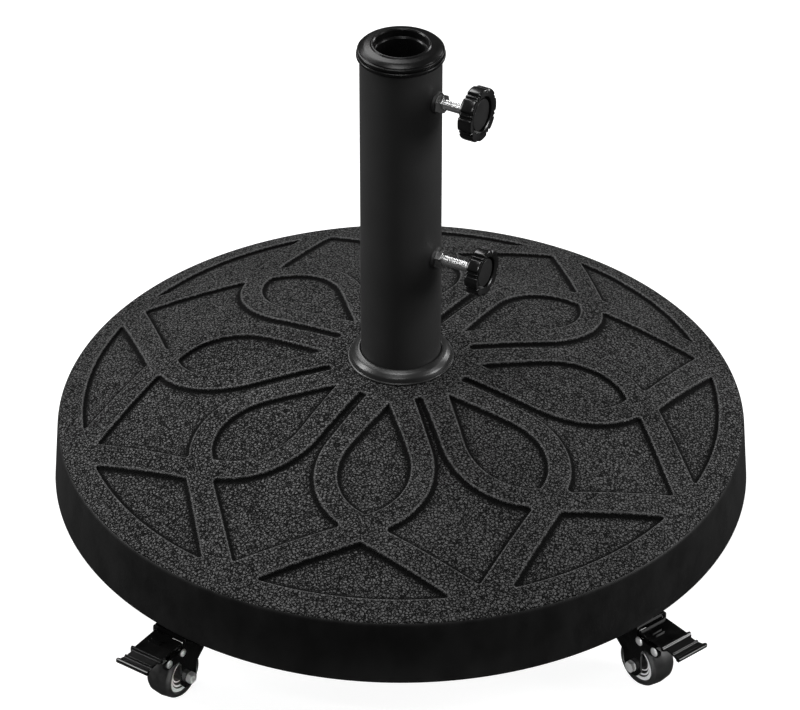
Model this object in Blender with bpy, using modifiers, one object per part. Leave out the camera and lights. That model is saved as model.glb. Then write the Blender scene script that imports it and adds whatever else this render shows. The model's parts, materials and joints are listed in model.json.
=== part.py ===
"""Parasol base: a domed, ribbed weight disc with a pole tube, two clamps and four braked casters.

Units are metres, +Z is up, the floor is z = 0 and the pole's axis is the Z axis.
The front of the base is towards -Y.
"""
from math import acos
from math import atan2
from math import cos
from math import hypot
from math import pi
from math import radians
from math import sin
from math import sqrt

import bmesh
import bpy
from mathutils import Matrix
from mathutils import Vector

# ---- driving dimensions -------------------------------------------------------------
RIM_RADIUS = 0.260
DISC_RADIUS = 0.2645
DISC_UNDERSIDE = 0.0718
EDGE_HEIGHT = 0.052
DOME_RISE = 0.052
PANEL_DEPTH = 0.003
RIB_WIDTH = 0.017
PETALS = 8
PETAL_HEADING = radians(-98.6)

TUBE_RADIUS = 0.030
TUBE_WALL = 0.0018
POLE_SOCKET_RADIUS = 0.0197
TOP_FACE = 0.4458

CLAMP_HEADING = radians(-29)
# height, knob radius, back and thickness of the knob, and where the pad's face stands
CLAMPS = {
    "upper": (0.4056, 0.0202, 0.0566, 0.0110, 0.0195),
    "lower": (0.2721, 0.0180, 0.0622, 0.0105, 0.0205),
}

WHEEL_RADIUS = 0.0204
CASTER_CIRCLE = 0.2299
# place round the disc and heading of the trailing side
CASTERS = {
    "front_left": (radians(-133.1), radians(-124.8)),
    "front_right": (radians(-42.3), radians(-50.5)),
    "back_right": (radians(47.3), radians(52.0)),
    "back_left": (radians(137.3), radians(131.0)),
}

GAP = 0.0003
MERGE = 0.00001

# ---- heights that follow ------------------------------------------------------------
RIM_HEIGHT = DISC_UNDERSIDE + EDGE_HEIGHT
TUBE_BORE = TUBE_RADIUS - TUBE_WALL


def dome_height(radius):
    """Height of the rib tops at a distance from the pole's axis."""
    return RIM_HEIGHT + DOME_RISE * (1 - (radius / RIM_RADIUS) ** 2)


SEAT_RADIUS = 0.042
SEAT_HEIGHT = dome_height(SEAT_RADIUS)
SOCKET_DEPTH = 0.0056
SOCKET_FLOOR = SEAT_HEIGHT - SOCKET_DEPTH
PAD_DEPTH = 0.0056
PAD_FACE = DISC_UNDERSIDE - PAD_DEPTH
CENTRE_BOLT_RADIUS = 0.0040
BOLT_FLANGE_RADIUS = 0.0140
BOLT_RECESS_RADIUS = 0.0170
BOLT_RECESS_DEPTH = 0.003
BOLT_SEAT = DISC_UNDERSIDE + BOLT_RECESS_DEPTH


# ---- scene helpers ------------------------------------------------------------------
def clear_scene():
    for item in list(bpy.data.objects):
        bpy.data.objects.remove(item, do_unlink=True)


def new_collection(name):
    collection = bpy.data.collections.new(name)
    bpy.context.scene.collection.children.link(collection)
    return collection


def new_material(name, colour, roughness, metallic):
    material = bpy.data.materials.new(name)
    material.use_nodes = True
    shader = material.node_tree.nodes["Principled BSDF"]
    shader.inputs["Base Color"].default_value = (*colour, 1.0)
    shader.inputs["Roughness"].default_value = roughness
    shader.inputs["Metallic"].default_value = metallic
    return material


clear_scene()
PARTS = new_collection("parasol_base")
CUTTERS = new_collection("cutters")

RESIN = new_material("black_resin", (0.022, 0.022, 0.023), 0.62, 0.0)
POWDER_COAT = new_material("powder_coat", (0.035, 0.035, 0.037), 0.45, 0.2)
GLOSS_PLASTIC = new_material("gloss_plastic", (0.012, 0.012, 0.013), 0.16, 0.0)
GLOSS_ENAMEL = new_material("gloss_enamel", (0.020, 0.020, 0.021), 0.14, 0.6)
KNOB_PLASTIC = new_material("knob_plastic", (0.018, 0.018, 0.019), 0.30, 0.0)
ZINC = new_material("zinc_plate", (0.70, 0.70, 0.71), 0.25, 1.0)
FORK_ENAMEL = new_material("fork_enamel", (0.030, 0.030, 0.031), 0.35, 0.3)
TYRE_RUBBER = new_material("tyre_rubber", (0.040, 0.040, 0.042), 0.60, 0.0)
HUB_METAL = new_material("hub_metal", (0.62, 0.62, 0.63), 0.35, 0.8)


def place(item, collection, material=None, matrix=None):
    """Link an object, give it its material and turn it into place."""
    collection.objects.link(item)
    if material:
        item.data.materials.append(material)
    if matrix:
        item.matrix_world = matrix
    if collection == CUTTERS:
        item.hide_render = True
        item.display_type = "WIRE"
    return item


def empty(name, matrix):
    item = bpy.data.objects.new(name, None)
    PARTS.objects.link(item)
    item.matrix_world = matrix
    return item


def ride(item, parent):
    """Parent an object without moving it."""
    bpy.context.view_layer.update()
    item.parent = parent
    item.matrix_parent_inverse = parent.matrix_world.inverted()
    return item


def turned(name, profile, material, matrix=None, steps=32, closed=True, collection=PARTS):
    """A body of revolution about its own Z axis, from (radius, height) points down its outer side."""
    mesh = bpy.data.meshes.new(name)
    shape = bmesh.new()
    points = [shape.verts.new((radius, 0.0, height)) for radius, height in profile]
    for first, second in zip(points, points[1:]):
        shape.edges.new((first, second))
    if closed:
        shape.edges.new((points[-1], points[0]))
    shape.to_mesh(mesh)
    shape.free()
    item = place(bpy.data.objects.new(name, mesh), collection, material, matrix)
    screw = item.modifiers.new("turn", "SCREW")
    screw.axis = "Z"
    screw.angle = 2 * pi
    screw.steps = steps
    screw.render_steps = steps
    screw.use_merge_vertices = True
    screw.merge_threshold = MERGE
    screw.use_smooth_shade = False
    return item


def cylinder(name, radius, low, high, material=None, matrix=None, sides=24, collection=PARTS):
    """A cylinder or prism about its own Z axis."""
    mesh = bpy.data.meshes.new(name)
    shape = bmesh.new()
    bmesh.ops.create_cone(
        shape, cap_ends=True, segments=sides, radius1=radius, radius2=radius, depth=high - low,
        matrix=Matrix.Translation((0, 0, (low + high) / 2)))
    shape.to_mesh(mesh)
    shape.free()
    return place(bpy.data.objects.new(name, mesh), collection, material, matrix)


def plate(name, outline, thickness, material=None, matrix=None, collection=PARTS):
    """A flat outline in its own XY plane, its thickness shared about z = 0, as a closed mesh."""
    curve = bpy.data.curves.new(name, "CURVE")
    curve.dimensions = "2D"
    curve.fill_mode = "BOTH"
    curve.extrude = thickness / 2
    spline = curve.splines.new("POLY")
    spline.points.add(len(outline) - 1)
    for point, (x, y) in zip(spline.points, outline):
        point.co = (x, y, 0.0, 1.0)
    spline.use_cyclic_u = True
    source = bpy.data.objects.new(name + "_outline", curve)
    CUTTERS.objects.link(source)
    bpy.context.view_layer.update()
    evaluated = source.evaluated_get(bpy.context.evaluated_depsgraph_get())
    mesh = bpy.data.meshes.new_from_object(evaluated)
    bpy.data.objects.remove(source, do_unlink=True)
    shape = bmesh.new()
    shape.from_mesh(mesh)
    bmesh.ops.remove_doubles(shape, verts=shape.verts, dist=MERGE)
    bmesh.ops.recalc_face_normals(shape, faces=shape.faces)
    shape.to_mesh(mesh)
    shape.free()
    mesh.name = name
    mesh.materials.clear()
    return place(bpy.data.objects.new(name, mesh), collection, material, matrix)


def boolean(item, operation, tool):
    modifier = item.modifiers.new(operation.lower(), "BOOLEAN")
    modifier.operation = operation
    modifier.solver = "EXACT"
    modifier.object = tool
    return item


def cut(item, *tools):
    for tool in tools:
        boolean(item, "DIFFERENCE", tool)
    return item


def join(item, *tools):
    for tool in tools:
        boolean(item, "UNION", tool)
    return item


def shade(item, angle=35):
    """Smooth the round faces and keep the hard edges."""
    item.data.shade_smooth()
    item.data.set_sharp_from_angle(angle=radians(angle))
    return item


def arc(centre, radius, start, end, count):
    """Points along a round stretch, angles in degrees."""
    return [
        (centre[0] + radius * cos(radians(start + (end - start) * step / count)),
         centre[1] + radius * sin(radians(start + (end - start) * step / count)))
        for step in range(count + 1)]


def turn_z(angle):
    return Matrix.Rotation(angle, 4, "Z")


def along_x():
    """Turns a Z axis so that it points along +X."""
    return Matrix.Rotation(pi / 2, 4, "Y")


# ---- weight disc --------------------------------------------------------------------
# The panels between the ribs are laid out for one petal that points along +X.
PETAL_START = 0.228 * RIM_RADIUS
PETAL_WIDEST = 0.505 * RIM_RADIUS
PETAL_HALF_WIDTH = 0.103 * RIM_RADIUS
FLANK_RADIUS = 0.220 * RIM_RADIUS
TIP_RADIUS = 0.168 * RIM_RADIUS
SLOT_START = 0.205 * RIM_RADIUS
STAR_APEX = 0.752 * RIM_RADIUS
STAR_CORNER = 0.927 * RIM_RADIUS
STAR_CORNER_ANGLE = 17.2
FIELD_CORNER = 0.901 * RIM_RADIUS
FIELD_JUNCTION = 0.0575 * RIM_RADIUS
HALF_PETAL_ANGLE = 180 / PETALS
DISC_STEPS = 64
DOME_RINGS = 5
EDGE_ROUNDING = 0.0045
FOOT_CHAMFER = 0.003
PAD_RADIUS = 0.0185
INSERT_RADIUS = 0.0090
INSERT_DEPTH = 0.0245


def flank(offset):
    """The petal's curved side, from its straight inner flank to its widest point."""
    centre = (PETAL_WIDEST, PETAL_HALF_WIDTH - FLANK_RADIUS)
    reach = hypot(centre[0] - PETAL_START, centre[1])
    down = atan2(-centre[1], PETAL_WIDEST - PETAL_START)
    tangent = acos(FLANK_RADIUS / reach)
    start = 180 - (down + tangent) * 180 / pi
    return arc(centre, FLANK_RADIUS + offset, start, 90, 4)


def crown_side(offset, lowest):
    """The petal's outer side, from its widest point down to a height above its axis."""
    centre = (PETAL_WIDEST, PETAL_HALF_WIDTH - TIP_RADIUS)
    radius = TIP_RADIUS + offset
    end = acos(sqrt(max(radius ** 2 - (lowest - centre[1]) ** 2, 0)) / radius) * 180 / pi
    return arc(centre, radius, 90, end, 6)


def mirrored(half):
    """Close an outline across its own X axis; its end points lie on that axis."""
    return half + [(x, -y) for x, y in reversed(half[1:-1])]


def rotated(points, angle):
    """Points turned by an angle in degrees."""
    turn_cos = cos(radians(angle))
    turn_sin = sin(radians(angle))
    return [(x * turn_cos - y * turn_sin, x * turn_sin + y * turn_cos) for x, y in points]


def petal_panel():
    """The teardrop inside a petal's rib."""
    return mirrored([(PETAL_START, 0.0)] + flank(0.0) + crown_side(0.0, 0.0)[1:])


def star_panel():
    """The three-cornered panel between a petal's tip and the rim."""
    rim = arc((0, 0), STAR_CORNER, STAR_CORNER_ANGLE, 0, 5)
    return mirrored([(STAR_APEX, 0.0)] + rim)


def field_panel():
    """The large panel between two petals, laid out along +X."""
    beside_petal = flank(RIB_WIDTH) + crown_side(RIB_WIDTH, FIELD_JUNCTION)[1:]
    side = rotated(beside_petal, -HALF_PETAL_ANGLE)
    slot_end = [(SLOT_START, 0.0), (SLOT_START + 0.001, side[0][1] * 0.8)]
    return mirrored(slot_end + side + [(FIELD_CORNER, 0.0)])


def relief_cutter():
    """All the panels as prisms, kept above a floor that follows the dome."""
    floor_profile = [(0.0, dome_height(SEAT_RADIUS) - PANEL_DEPTH)]
    for step in range(1, DOME_RINGS + 1):
        radius = RIM_RADIUS * step / DOME_RINGS
        floor_profile.append((radius, dome_height(radius) - PANEL_DEPTH))
    floor_profile += [(RIM_RADIUS, DISC_UNDERSIDE), (0.0, DISC_UNDERSIDE)]
    floor = turned("panel_floor", floor_profile, None, turn_z(PETAL_HEADING),
                   steps=DISC_STEPS, closed=False, collection=CUTTERS)
    shape = bmesh.new()
    lift = (RIM_HEIGHT + dome_height(0.0)) / 2
    height = DOME_RISE + 0.024
    for index in range(PETALS):
        petal_angle = index * 2 * HALF_PETAL_ANGLE
        for label, outline, angle in (
                ("petal", petal_panel(), petal_angle),
                ("star", star_panel(), petal_angle),
                ("field", field_panel(), petal_angle + HALF_PETAL_ANGLE)):
            item = plate(label, rotated(outline, angle), height, collection=CUTTERS)
            shape.from_mesh(item.data)
            bpy.data.objects.remove(item, do_unlink=True)
    mesh = bpy.data.meshes.new("panel_cutter")
    shape.to_mesh(mesh)
    shape.free()
    matrix = Matrix.Translation((0, 0, lift)) @ turn_z(PETAL_HEADING)
    cutter = place(bpy.data.objects.new("panel_cutter", mesh), CUTTERS, None, matrix)
    return cut(cutter, floor)


def weight_disc():
    """The domed disc, flat below, with a socket for the tube and a pad at each caster."""
    socket = TUBE_RADIUS + GAP
    bolt_hole = CENTRE_BOLT_RADIUS + 0.0005
    profile = [(socket, SEAT_HEIGHT), (SEAT_RADIUS, SEAT_HEIGHT)]
    for step in range(2, DOME_RINGS + 1):
        radius = (RIM_RADIUS - EDGE_ROUNDING) * step / DOME_RINGS
        profile.append((radius, dome_height(radius)))
    profile += [
        (RIM_RADIUS - 0.0012, RIM_HEIGHT - 0.0003),
        (RIM_RADIUS + 0.0008, RIM_HEIGHT - EDGE_ROUNDING),
        (DISC_RADIUS, DISC_UNDERSIDE + FOOT_CHAMFER),
        (DISC_RADIUS - FOOT_CHAMFER, DISC_UNDERSIDE),
        (BOLT_RECESS_RADIUS, DISC_UNDERSIDE),
        (BOLT_RECESS_RADIUS, BOLT_SEAT),
        (bolt_hole, BOLT_SEAT),
        (bolt_hole, SOCKET_FLOOR),
        (socket, SOCKET_FLOOR),
    ]
    disc = turned("weight_disc", profile, RESIN, turn_z(PETAL_HEADING), steps=DISC_STEPS)
    for name, (position, _heading) in CASTERS.items():
        spot = turn_z(position) @ Matrix.Translation((CASTER_CIRCLE, 0, 0))
        pad = cylinder(name + "_pad", PAD_RADIUS, PAD_FACE, DISC_UNDERSIDE + 0.004, None, spot,
                       collection=CUTTERS)
        hole = cylinder(name + "_hole", INSERT_RADIUS + GAP, PAD_FACE - 0.002,
                        PAD_FACE + INSERT_DEPTH + 0.0005, None, spot, collection=CUTTERS)
        join(disc, pad)
        cut(disc, hole)
    cut(disc, relief_cutter())
    return disc


# ---- pole tube and its fixings ------------------------------------------------------
CAP_LEDGE = 0.0048
PLUG_THICKNESS = 0.007
TUBE_FOOT = SOCKET_FLOOR + GAP
TUBE_TOP = TOP_FACE - CAP_LEDGE
PLUG_TOP = TUBE_FOOT + PLUG_THICKNESS
SKIRT_DEPTH = 0.022
SLEEVE_DEPTH = 0.018
SLEEVE_BORE = 0.0180
SLEEVE_RADIUS = 0.0253
BOLT_HOLE_RADIUS = 0.0042


def clamp_matrix(height):
    """A clamp's own frame: its +Z axis points out from the pole."""
    return Matrix.Translation((0, 0, height)) @ turn_z(CLAMP_HEADING) @ along_x()


def pole_tube():
    profile = [
        (TUBE_BORE, TUBE_TOP),
        (TUBE_RADIUS, TUBE_TOP),
        (TUBE_RADIUS, TUBE_FOOT),
        (TUBE_BORE, TUBE_FOOT),
    ]
    tube = turned("pole_tube", profile, POWDER_COAT, steps=40)
    for label, (height, *_rest) in CLAMPS.items():
        hole = cylinder(label + "_bolt_hole", BOLT_HOLE_RADIUS, TUBE_BORE - 0.008,
                        TUBE_RADIUS + 0.006, None, clamp_matrix(height), sides=16,
                        collection=CUTTERS)
        cut(tube, hole)
    return tube


def foot_ring():
    """The gloss collar that covers the joint between tube and disc."""
    bottom = SEAT_HEIGHT + GAP
    inner = TUBE_RADIUS + GAP
    top = bottom + 0.0078
    lip = bottom + 0.0012
    profile = [(inner, top), (inner + 0.0012, top)]
    profile += arc((0.0310, lip), 0.0074, 72, 8, 3)
    profile += [(0.0384, lip + 0.0002), (0.0398, lip), (0.0400, bottom), (inner, bottom)]
    return turned("foot_ring", profile, GLOSS_ENAMEL, steps=36)


def end_plug():
    """The threaded disc that closes the tube's foot."""
    bore = CENTRE_BOLT_RADIUS + GAP
    outer = TUBE_BORE - GAP
    profile = [(bore, PLUG_TOP), (outer, PLUG_TOP), (outer, TUBE_FOOT), (bore, TUBE_FOOT)]
    return turned("end_plug", profile, ZINC, steps=24)


def centre_bolt():
    """The flanged bolt, set into the underside, that pulls the tube down into its socket."""
    tip = PLUG_TOP - 0.0005
    flange_face = BOLT_SEAT - GAP
    head_radius = 0.0075
    head_foot = flange_face - 0.008
    profile = [
        (0.0, tip),
        (CENTRE_BOLT_RADIUS - 0.0004, tip),
        (CENTRE_BOLT_RADIUS, tip - 0.0008),
        (CENTRE_BOLT_RADIUS, flange_face),
        (BOLT_FLANGE_RADIUS, flange_face),
        (BOLT_FLANGE_RADIUS, flange_face - 0.002),
        (head_radius, flange_face - 0.003),
        (head_radius, head_foot),
        (0.0, head_foot),
    ]
    return turned("centre_bolt", profile, ZINC, steps=16, closed=False)


def top_cap():
    """The cap on the tube: a raised lip, a gently sloped face and two beads outside."""
    bore = POLE_SOCKET_RADIUS
    skirt_foot = TOP_FACE - SKIRT_DEPTH
    channel_inner = TUBE_BORE - GAP
    channel_outer = TUBE_RADIUS + GAP
    channel_top = TUBE_TOP + GAP
    ledge = TOP_FACE - CAP_LEDGE
    profile = [
        (bore, TOP_FACE + 0.0002),
        (bore + 0.0010, TOP_FACE + 0.0008),
        (bore + 0.0024, TOP_FACE - 0.0002),
        (0.0288, TOP_FACE - 0.0010),
        (0.0306, TOP_FACE - 0.0026),
    ]
    profile += arc((0.0306, TOP_FACE - 0.0049), 0.0012, 60, -60, 2)
    profile += arc((0.0308, TOP_FACE - 0.0078), 0.0015, 70, -60, 2)
    profile += [
        (channel_outer, TOP_FACE - 0.0095),
        (channel_outer, channel_top),
        (channel_inner, channel_top),
        (channel_inner, skirt_foot),
        (SLEEVE_RADIUS + GAP, skirt_foot),
        (SLEEVE_RADIUS + GAP, ledge),
        (bore, ledge),
    ]
    return turned("top_cap", profile, GLOSS_PLASTIC, steps=36)


def reducer_sleeve():
    """The loose ring inside the cap that narrows the bore for a thin pole."""
    high = TOP_FACE - CAP_LEDGE - GAP
    low = high - SLEEVE_DEPTH
    lead_in = 0.0010
    profile = [
        (SLEEVE_BORE, high - lead_in),
        (SLEEVE_BORE + lead_in, high),
        (SLEEVE_RADIUS, high),
        (SLEEVE_RADIUS, low),
        (SLEEVE_BORE, low),
    ]
    return turned("reducer_sleeve", profile, GLOSS_PLASTIC, steps=28)


# ---- clamps -------------------------------------------------------------------------
NUT_FACE = TUBE_RADIUS + GAP
NUT_THICKNESS = 0.006
NUT_ACROSS = 0.013
BOLT_RADIUS = 0.0038
LOBES = 8
VALLEY_DEPTH = 0.0020
CAP_SEAT_SHARE = 0.69
CAP_SHARE = 0.59
CAP_SEAT_DEPTH = 0.0035
CAP_THICKNESS = 0.0015
KNOB_SOCKET_DEPTH = 0.006
PAD_DISC_RADIUS = 0.0055
PAD_DISC_THICKNESS = 0.002
COLLAR_STEP = 0.0012
BOLT_POINT = 0.0008


def knob_outline(outer_radius):
    """A lobed rim: broad lobes parted by narrow valleys, with a small ridge in each valley."""
    valley = outer_radius - VALLEY_DEPTH
    ridge = outer_radius - VALLEY_DEPTH / 3
    half_pitch = 180 / LOBES
    points = []
    for lobe in range(LOBES):
        middle = lobe * 2 * half_pitch
        points += arc((0, 0), outer_radius, middle - 12, middle + 12, 3)
        for start, end, radius in ((-7.0, -3.0, valley), (-1.2, 1.2, ridge), (3.0, 7.0, valley)):
            gap_middle = middle + half_pitch
            points += arc((0, 0), radius, gap_middle + start, gap_middle + end, 1)
    return points


def clamp(label, height, knob_radius, knob_back, knob_thickness, pad_face):
    """A weld nut, a threaded bolt with its knob and knob cap, and the pad that grips the pole."""
    frame = clamp_matrix(height)
    slide = empty(label + "_clamp_slide", frame)
    turn = empty(label + "_clamp_turn", frame)
    ride(turn, slide)

    nut = cylinder(label + "_weld_nut", NUT_ACROSS / sqrt(3), NUT_FACE, NUT_FACE + NUT_THICKNESS,
                   ZINC, frame, sides=6)
    bore = cylinder(label + "_nut_bore", BOLT_RADIUS + GAP, NUT_FACE - 0.002,
                    NUT_FACE + NUT_THICKNESS + 0.002, None, frame, sides=16, collection=CUTTERS)
    cut(nut, bore)

    pad = cylinder(label + "_clamp_pad", PAD_DISC_RADIUS, pad_face,
                   pad_face + PAD_DISC_THICKNESS, KNOB_PLASTIC, frame, sides=20)
    ride(pad, slide)

    tip = pad_face + PAD_DISC_THICKNESS + GAP
    collar = BOLT_RADIUS + COLLAR_STEP
    profile = [
        (0.0, knob_back + KNOB_SOCKET_DEPTH),
        (BOLT_RADIUS, knob_back + KNOB_SOCKET_DEPTH),
        (BOLT_RADIUS, knob_back - GAP),
        (collar, knob_back - GAP),
        (collar, knob_back - 0.0035),
        (BOLT_RADIUS, knob_back - 0.0040),
        (BOLT_RADIUS, tip + BOLT_POINT),
        (BOLT_RADIUS - BOLT_POINT, tip),
        (0.0, tip),
    ]
    bolt = turned(label + "_clamp_bolt", profile, ZINC, frame, steps=16, closed=False)
    ride(bolt, turn)

    middle = frame @ Matrix.Translation((0, 0, knob_back + knob_thickness / 2))
    knob = plate(label + "_knob", knob_outline(knob_radius), knob_thickness, KNOB_PLASTIC, middle)
    socket = cylinder(label + "_knob_socket", BOLT_RADIUS + GAP, knob_back - 0.002,
                      knob_back + KNOB_SOCKET_DEPTH + GAP, None, frame, sides=16,
                      collection=CUTTERS)
    seat_floor = knob_back + knob_thickness - CAP_SEAT_DEPTH
    cap_seat = cylinder(label + "_cap_seat", CAP_SEAT_SHARE * knob_radius, seat_floor,
                        seat_floor + CAP_SEAT_DEPTH + 0.002, None, frame, sides=32,
                        collection=CUTTERS)
    cut(knob, socket, cap_seat)
    ride(knob, turn)

    cap = cylinder(label + "_knob_cap", CAP_SHARE * knob_radius, seat_floor + GAP,
                   seat_floor + GAP + CAP_THICKNESS, GLOSS_PLASTIC, frame, sides=32)
    ride(cap, turn)


# ---- casters ------------------------------------------------------------------------
# A caster's own frame stands on the floor under its swivel axis; +X is its trailing side,
# where the wheel and the brake pedal are, and +Y is along the axle.
TRAIL = 0.019
STEM_RADIUS = 0.0050
INSERT_FLANGE_RADIUS = 0.0140
INSERT_FLANGE_THICKNESS = 0.0028
STEM_COLLAR_RADIUS = 0.0085
STEM_HEAD_RADIUS = 0.0080
STEM_HOLE_RADIUS = 0.0053
CROWN_TOP = 0.0586
CROWN_THICKNESS = 0.0025
LEG_INNER = 0.0126
LEG_THICKNESS = 0.0020
LEG_OUTER = LEG_INNER + LEG_THICKNESS
AXLE_RADIUS = 0.0025
AXLE_HEXAGON = 0.008
AXLE_HEAD = 0.0036
AXLE_NUT = 0.0040
AXLE_THREAD_END = 0.0052
TYRE_HALF_WIDTH = 0.0106
TYRE_INNER_RADIUS = 0.0152
HUB_RADIUS = 0.0149
HUB_RING_START = 0.0114
HUB_RING_FACE = 0.0086
HUB_WEB_FACE = 0.0040
HUB_BOSS_RADIUS = 0.0055
PIN_RADIUS = 0.0018
PIN_HEIGHT = WHEEL_RADIUS + 0.0267
PIVOT_PIN = TRAIL + 0.0063
STOP_PIN = TRAIL + 0.0227
PEDAL_FACE = 0.0543
PEDAL_THICKNESS = 0.002
PEDAL_START = 0.0232
CROWN_FRONT = PEDAL_START - 0.0010
CROWN_INSET = 0.0006
CROWN_BACK = -0.0168
LIP_FOOT = PEDAL_FACE - 0.0015
LIP_THICKNESS = 0.0018
PEDAL_TIP = TRAIL + 0.0486
PEDAL_HALF_WIDTH = 0.0142
PEDAL_WAIST = 0.0117
EAR_PLACE = PEDAL_TIP - 0.0190
EAR_RADIUS = 0.0030
BAR_DISTANCES = (0.0095, 0.0190)
LUG_RADIUS = 0.0042
LUG_THICKNESS = 0.0018
LUG_PLACE = LEG_INNER - 0.0016
SHOE_WIDTH = 0.0140
PAN_HEAD_RADIUS = 0.0030
DOME_HEAD_RADIUS = 0.0036


def upright(x=0.0, z=0.0):
    """Lays an outline's XY plane into the XZ plane, so that its thickness runs along Y."""
    return Matrix.Translation((x, 0, z)) @ Matrix.Rotation(pi / 2, 4, "X")


def shifted(distance):
    return Matrix.Translation((0, distance, 0))


def caster_stem(name, frame):
    """The flanged insert in the disc's pad and the swivel stem that screws into it."""
    flange_low = PAD_FACE - GAP - INSERT_FLANGE_THICKNESS
    body_top = PAD_FACE + INSERT_DEPTH
    bore = STEM_RADIUS + GAP
    profile = [
        (bore, body_top),
        (INSERT_RADIUS, body_top),
        (INSERT_RADIUS, PAD_FACE - GAP),
        (INSERT_FLANGE_RADIUS, PAD_FACE - GAP),
        (INSERT_FLANGE_RADIUS, flange_low),
        (bore, flange_low),
    ]
    turned(name + "_insert", profile, ZINC, frame, steps=16)

    collar_high = flange_low - GAP
    collar_low = CROWN_TOP + 0.0005
    head_high = CROWN_TOP - CROWN_THICKNESS - GAP
    profile = [
        (0.0, body_top - 0.002),
        (STEM_RADIUS, body_top - 0.002),
        (STEM_RADIUS, collar_high),
        (STEM_COLLAR_RADIUS, collar_high),
        (STEM_COLLAR_RADIUS, collar_low),
        (STEM_RADIUS - 0.0002, collar_low),
        (STEM_RADIUS - 0.0002, head_high),
        (STEM_HEAD_RADIUS, head_high),
        (STEM_HEAD_RADIUS - 0.0014, head_high - 0.0024),
        (0.0, head_high - 0.0028),
    ]
    turned(name + "_stem", profile, ZINC, frame, steps=16, closed=False)


def leg_outline():
    """One side plate of the fork, seen along the axle."""
    axle = (TRAIL, WHEEL_RADIUS)
    points = arc(axle, 0.0085, 190, 350, 4)
    points += [
        (TRAIL + 0.0079, WHEEL_RADIUS + 0.0066),
        (TRAIL + 0.0080, WHEEL_RADIUS + 0.0160),
        (TRAIL + 0.0107, WHEEL_RADIUS + 0.0208),
    ]
    points += arc((STOP_PIN, PIN_HEIGHT), 0.0050, -95, 25, 3)
    points += [
        (TRAIL + 0.0030, PIN_HEIGHT + 0.0022),
        (CROWN_FRONT, LIP_FOOT),
        (CROWN_FRONT, CROWN_TOP + 0.0002),
        (-0.0175, CROWN_TOP + 0.0002),
        (-0.0175, CROWN_TOP - 0.0040),
        (TRAIL - 0.0189, WHEEL_RADIUS + 0.0147),
        (TRAIL - 0.0104, WHEEL_RADIUS + 0.0080),
    ]
    return points


def caster_fork(name, frame):
    """Two side plates joined by a crown."""
    middle = (LEG_INNER + LEG_OUTER) / 2
    fork = plate(name + "_fork", leg_outline(), LEG_THICKNESS, FORK_ENAMEL,
                 frame @ shifted(-middle) @ upright())
    other_leg = plate(name + "_leg", leg_outline(), LEG_THICKNESS, None,
                      frame @ shifted(middle) @ upright(), CUTTERS)
    half_width = LEG_INNER + 0.001
    crown_outline = [
        (CROWN_BACK, -half_width),
        (CROWN_FRONT - CROWN_INSET, -half_width),
        (CROWN_FRONT - CROWN_INSET, half_width),
        (CROWN_BACK, half_width),
    ]
    crown_middle = Matrix.Translation((0, 0, CROWN_TOP - CROWN_THICKNESS / 2))
    crown = plate(name + "_crown", crown_outline, CROWN_THICKNESS, None, frame @ crown_middle,
                  CUTTERS)
    lip_outline = [
        (CROWN_FRONT - CROWN_INSET - LIP_THICKNESS, LIP_FOOT),
        (CROWN_FRONT - CROWN_INSET, LIP_FOOT),
        (CROWN_FRONT - CROWN_INSET, CROWN_TOP - 0.0004),
        (CROWN_FRONT - CROWN_INSET - LIP_THICKNESS, CROWN_TOP - 0.0004),
    ]
    lip = plate(name + "_crown_lip", lip_outline, 2 * half_width, None, frame @ upright(), CUTTERS)
    join(fork, crown, other_leg, lip)
    stem_hole = cylinder(name + "_stem_hole", STEM_HOLE_RADIUS, CROWN_TOP - 0.006,
                         CROWN_TOP + 0.004, None, frame, sides=12, collection=CUTTERS)
    cut(fork, stem_hole)
    for label, x, z, radius in (
            ("axle", TRAIL, WHEEL_RADIUS, AXLE_RADIUS + GAP),
            ("pivot", PIVOT_PIN, PIN_HEIGHT, PIN_RADIUS + GAP),
            ("stop", STOP_PIN, PIN_HEIGHT, PIN_RADIUS + GAP)):
        hole = cylinder(name + "_" + label + "_hole", radius, -LEG_OUTER - 0.002,
                        LEG_OUTER + 0.002, None, frame @ upright(x, z), sides=8,
                        collection=CUTTERS)
        cut(fork, hole)
    return fork


def caster_wheel(name, frame):
    """A barrel tyre on a hub with a raised bright ring on each face."""
    axle = frame @ upright(TRAIL, WHEEL_RADIUS)
    half = TYRE_HALF_WIDTH
    tyre_profile = [
        (TYRE_INNER_RADIUS, half),
        (WHEEL_RADIUS - 0.0030, half),
        (WHEEL_RADIUS - 0.0010, half - 0.0028),
        (WHEEL_RADIUS, 0.0026),
        (WHEEL_RADIUS, -0.0026),
        (WHEEL_RADIUS - 0.0010, -half + 0.0028),
        (WHEEL_RADIUS - 0.0030, -half),
        (TYRE_INNER_RADIUS, -half),
    ]
    tyre = turned(name + "_tyre", tyre_profile, TYRE_RUBBER, axle, steps=28)

    bore = AXLE_RADIUS + GAP
    boss_half = LEG_INNER - 0.0004
    one_side = [
        (bore, boss_half),
        (HUB_BOSS_RADIUS, boss_half),
        (HUB_BOSS_RADIUS + 0.0005, HUB_WEB_FACE),
        (HUB_RING_START - 0.0006, HUB_WEB_FACE),
        (HUB_RING_START, HUB_RING_FACE),
        (HUB_RADIUS, HUB_RING_FACE),
    ]
    other_side = [(radius, -height) for radius, height in reversed(one_side)]
    hub = turned(name + "_hub", one_side + other_side, HUB_METAL, axle, steps=20)
    return tyre, hub


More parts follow.
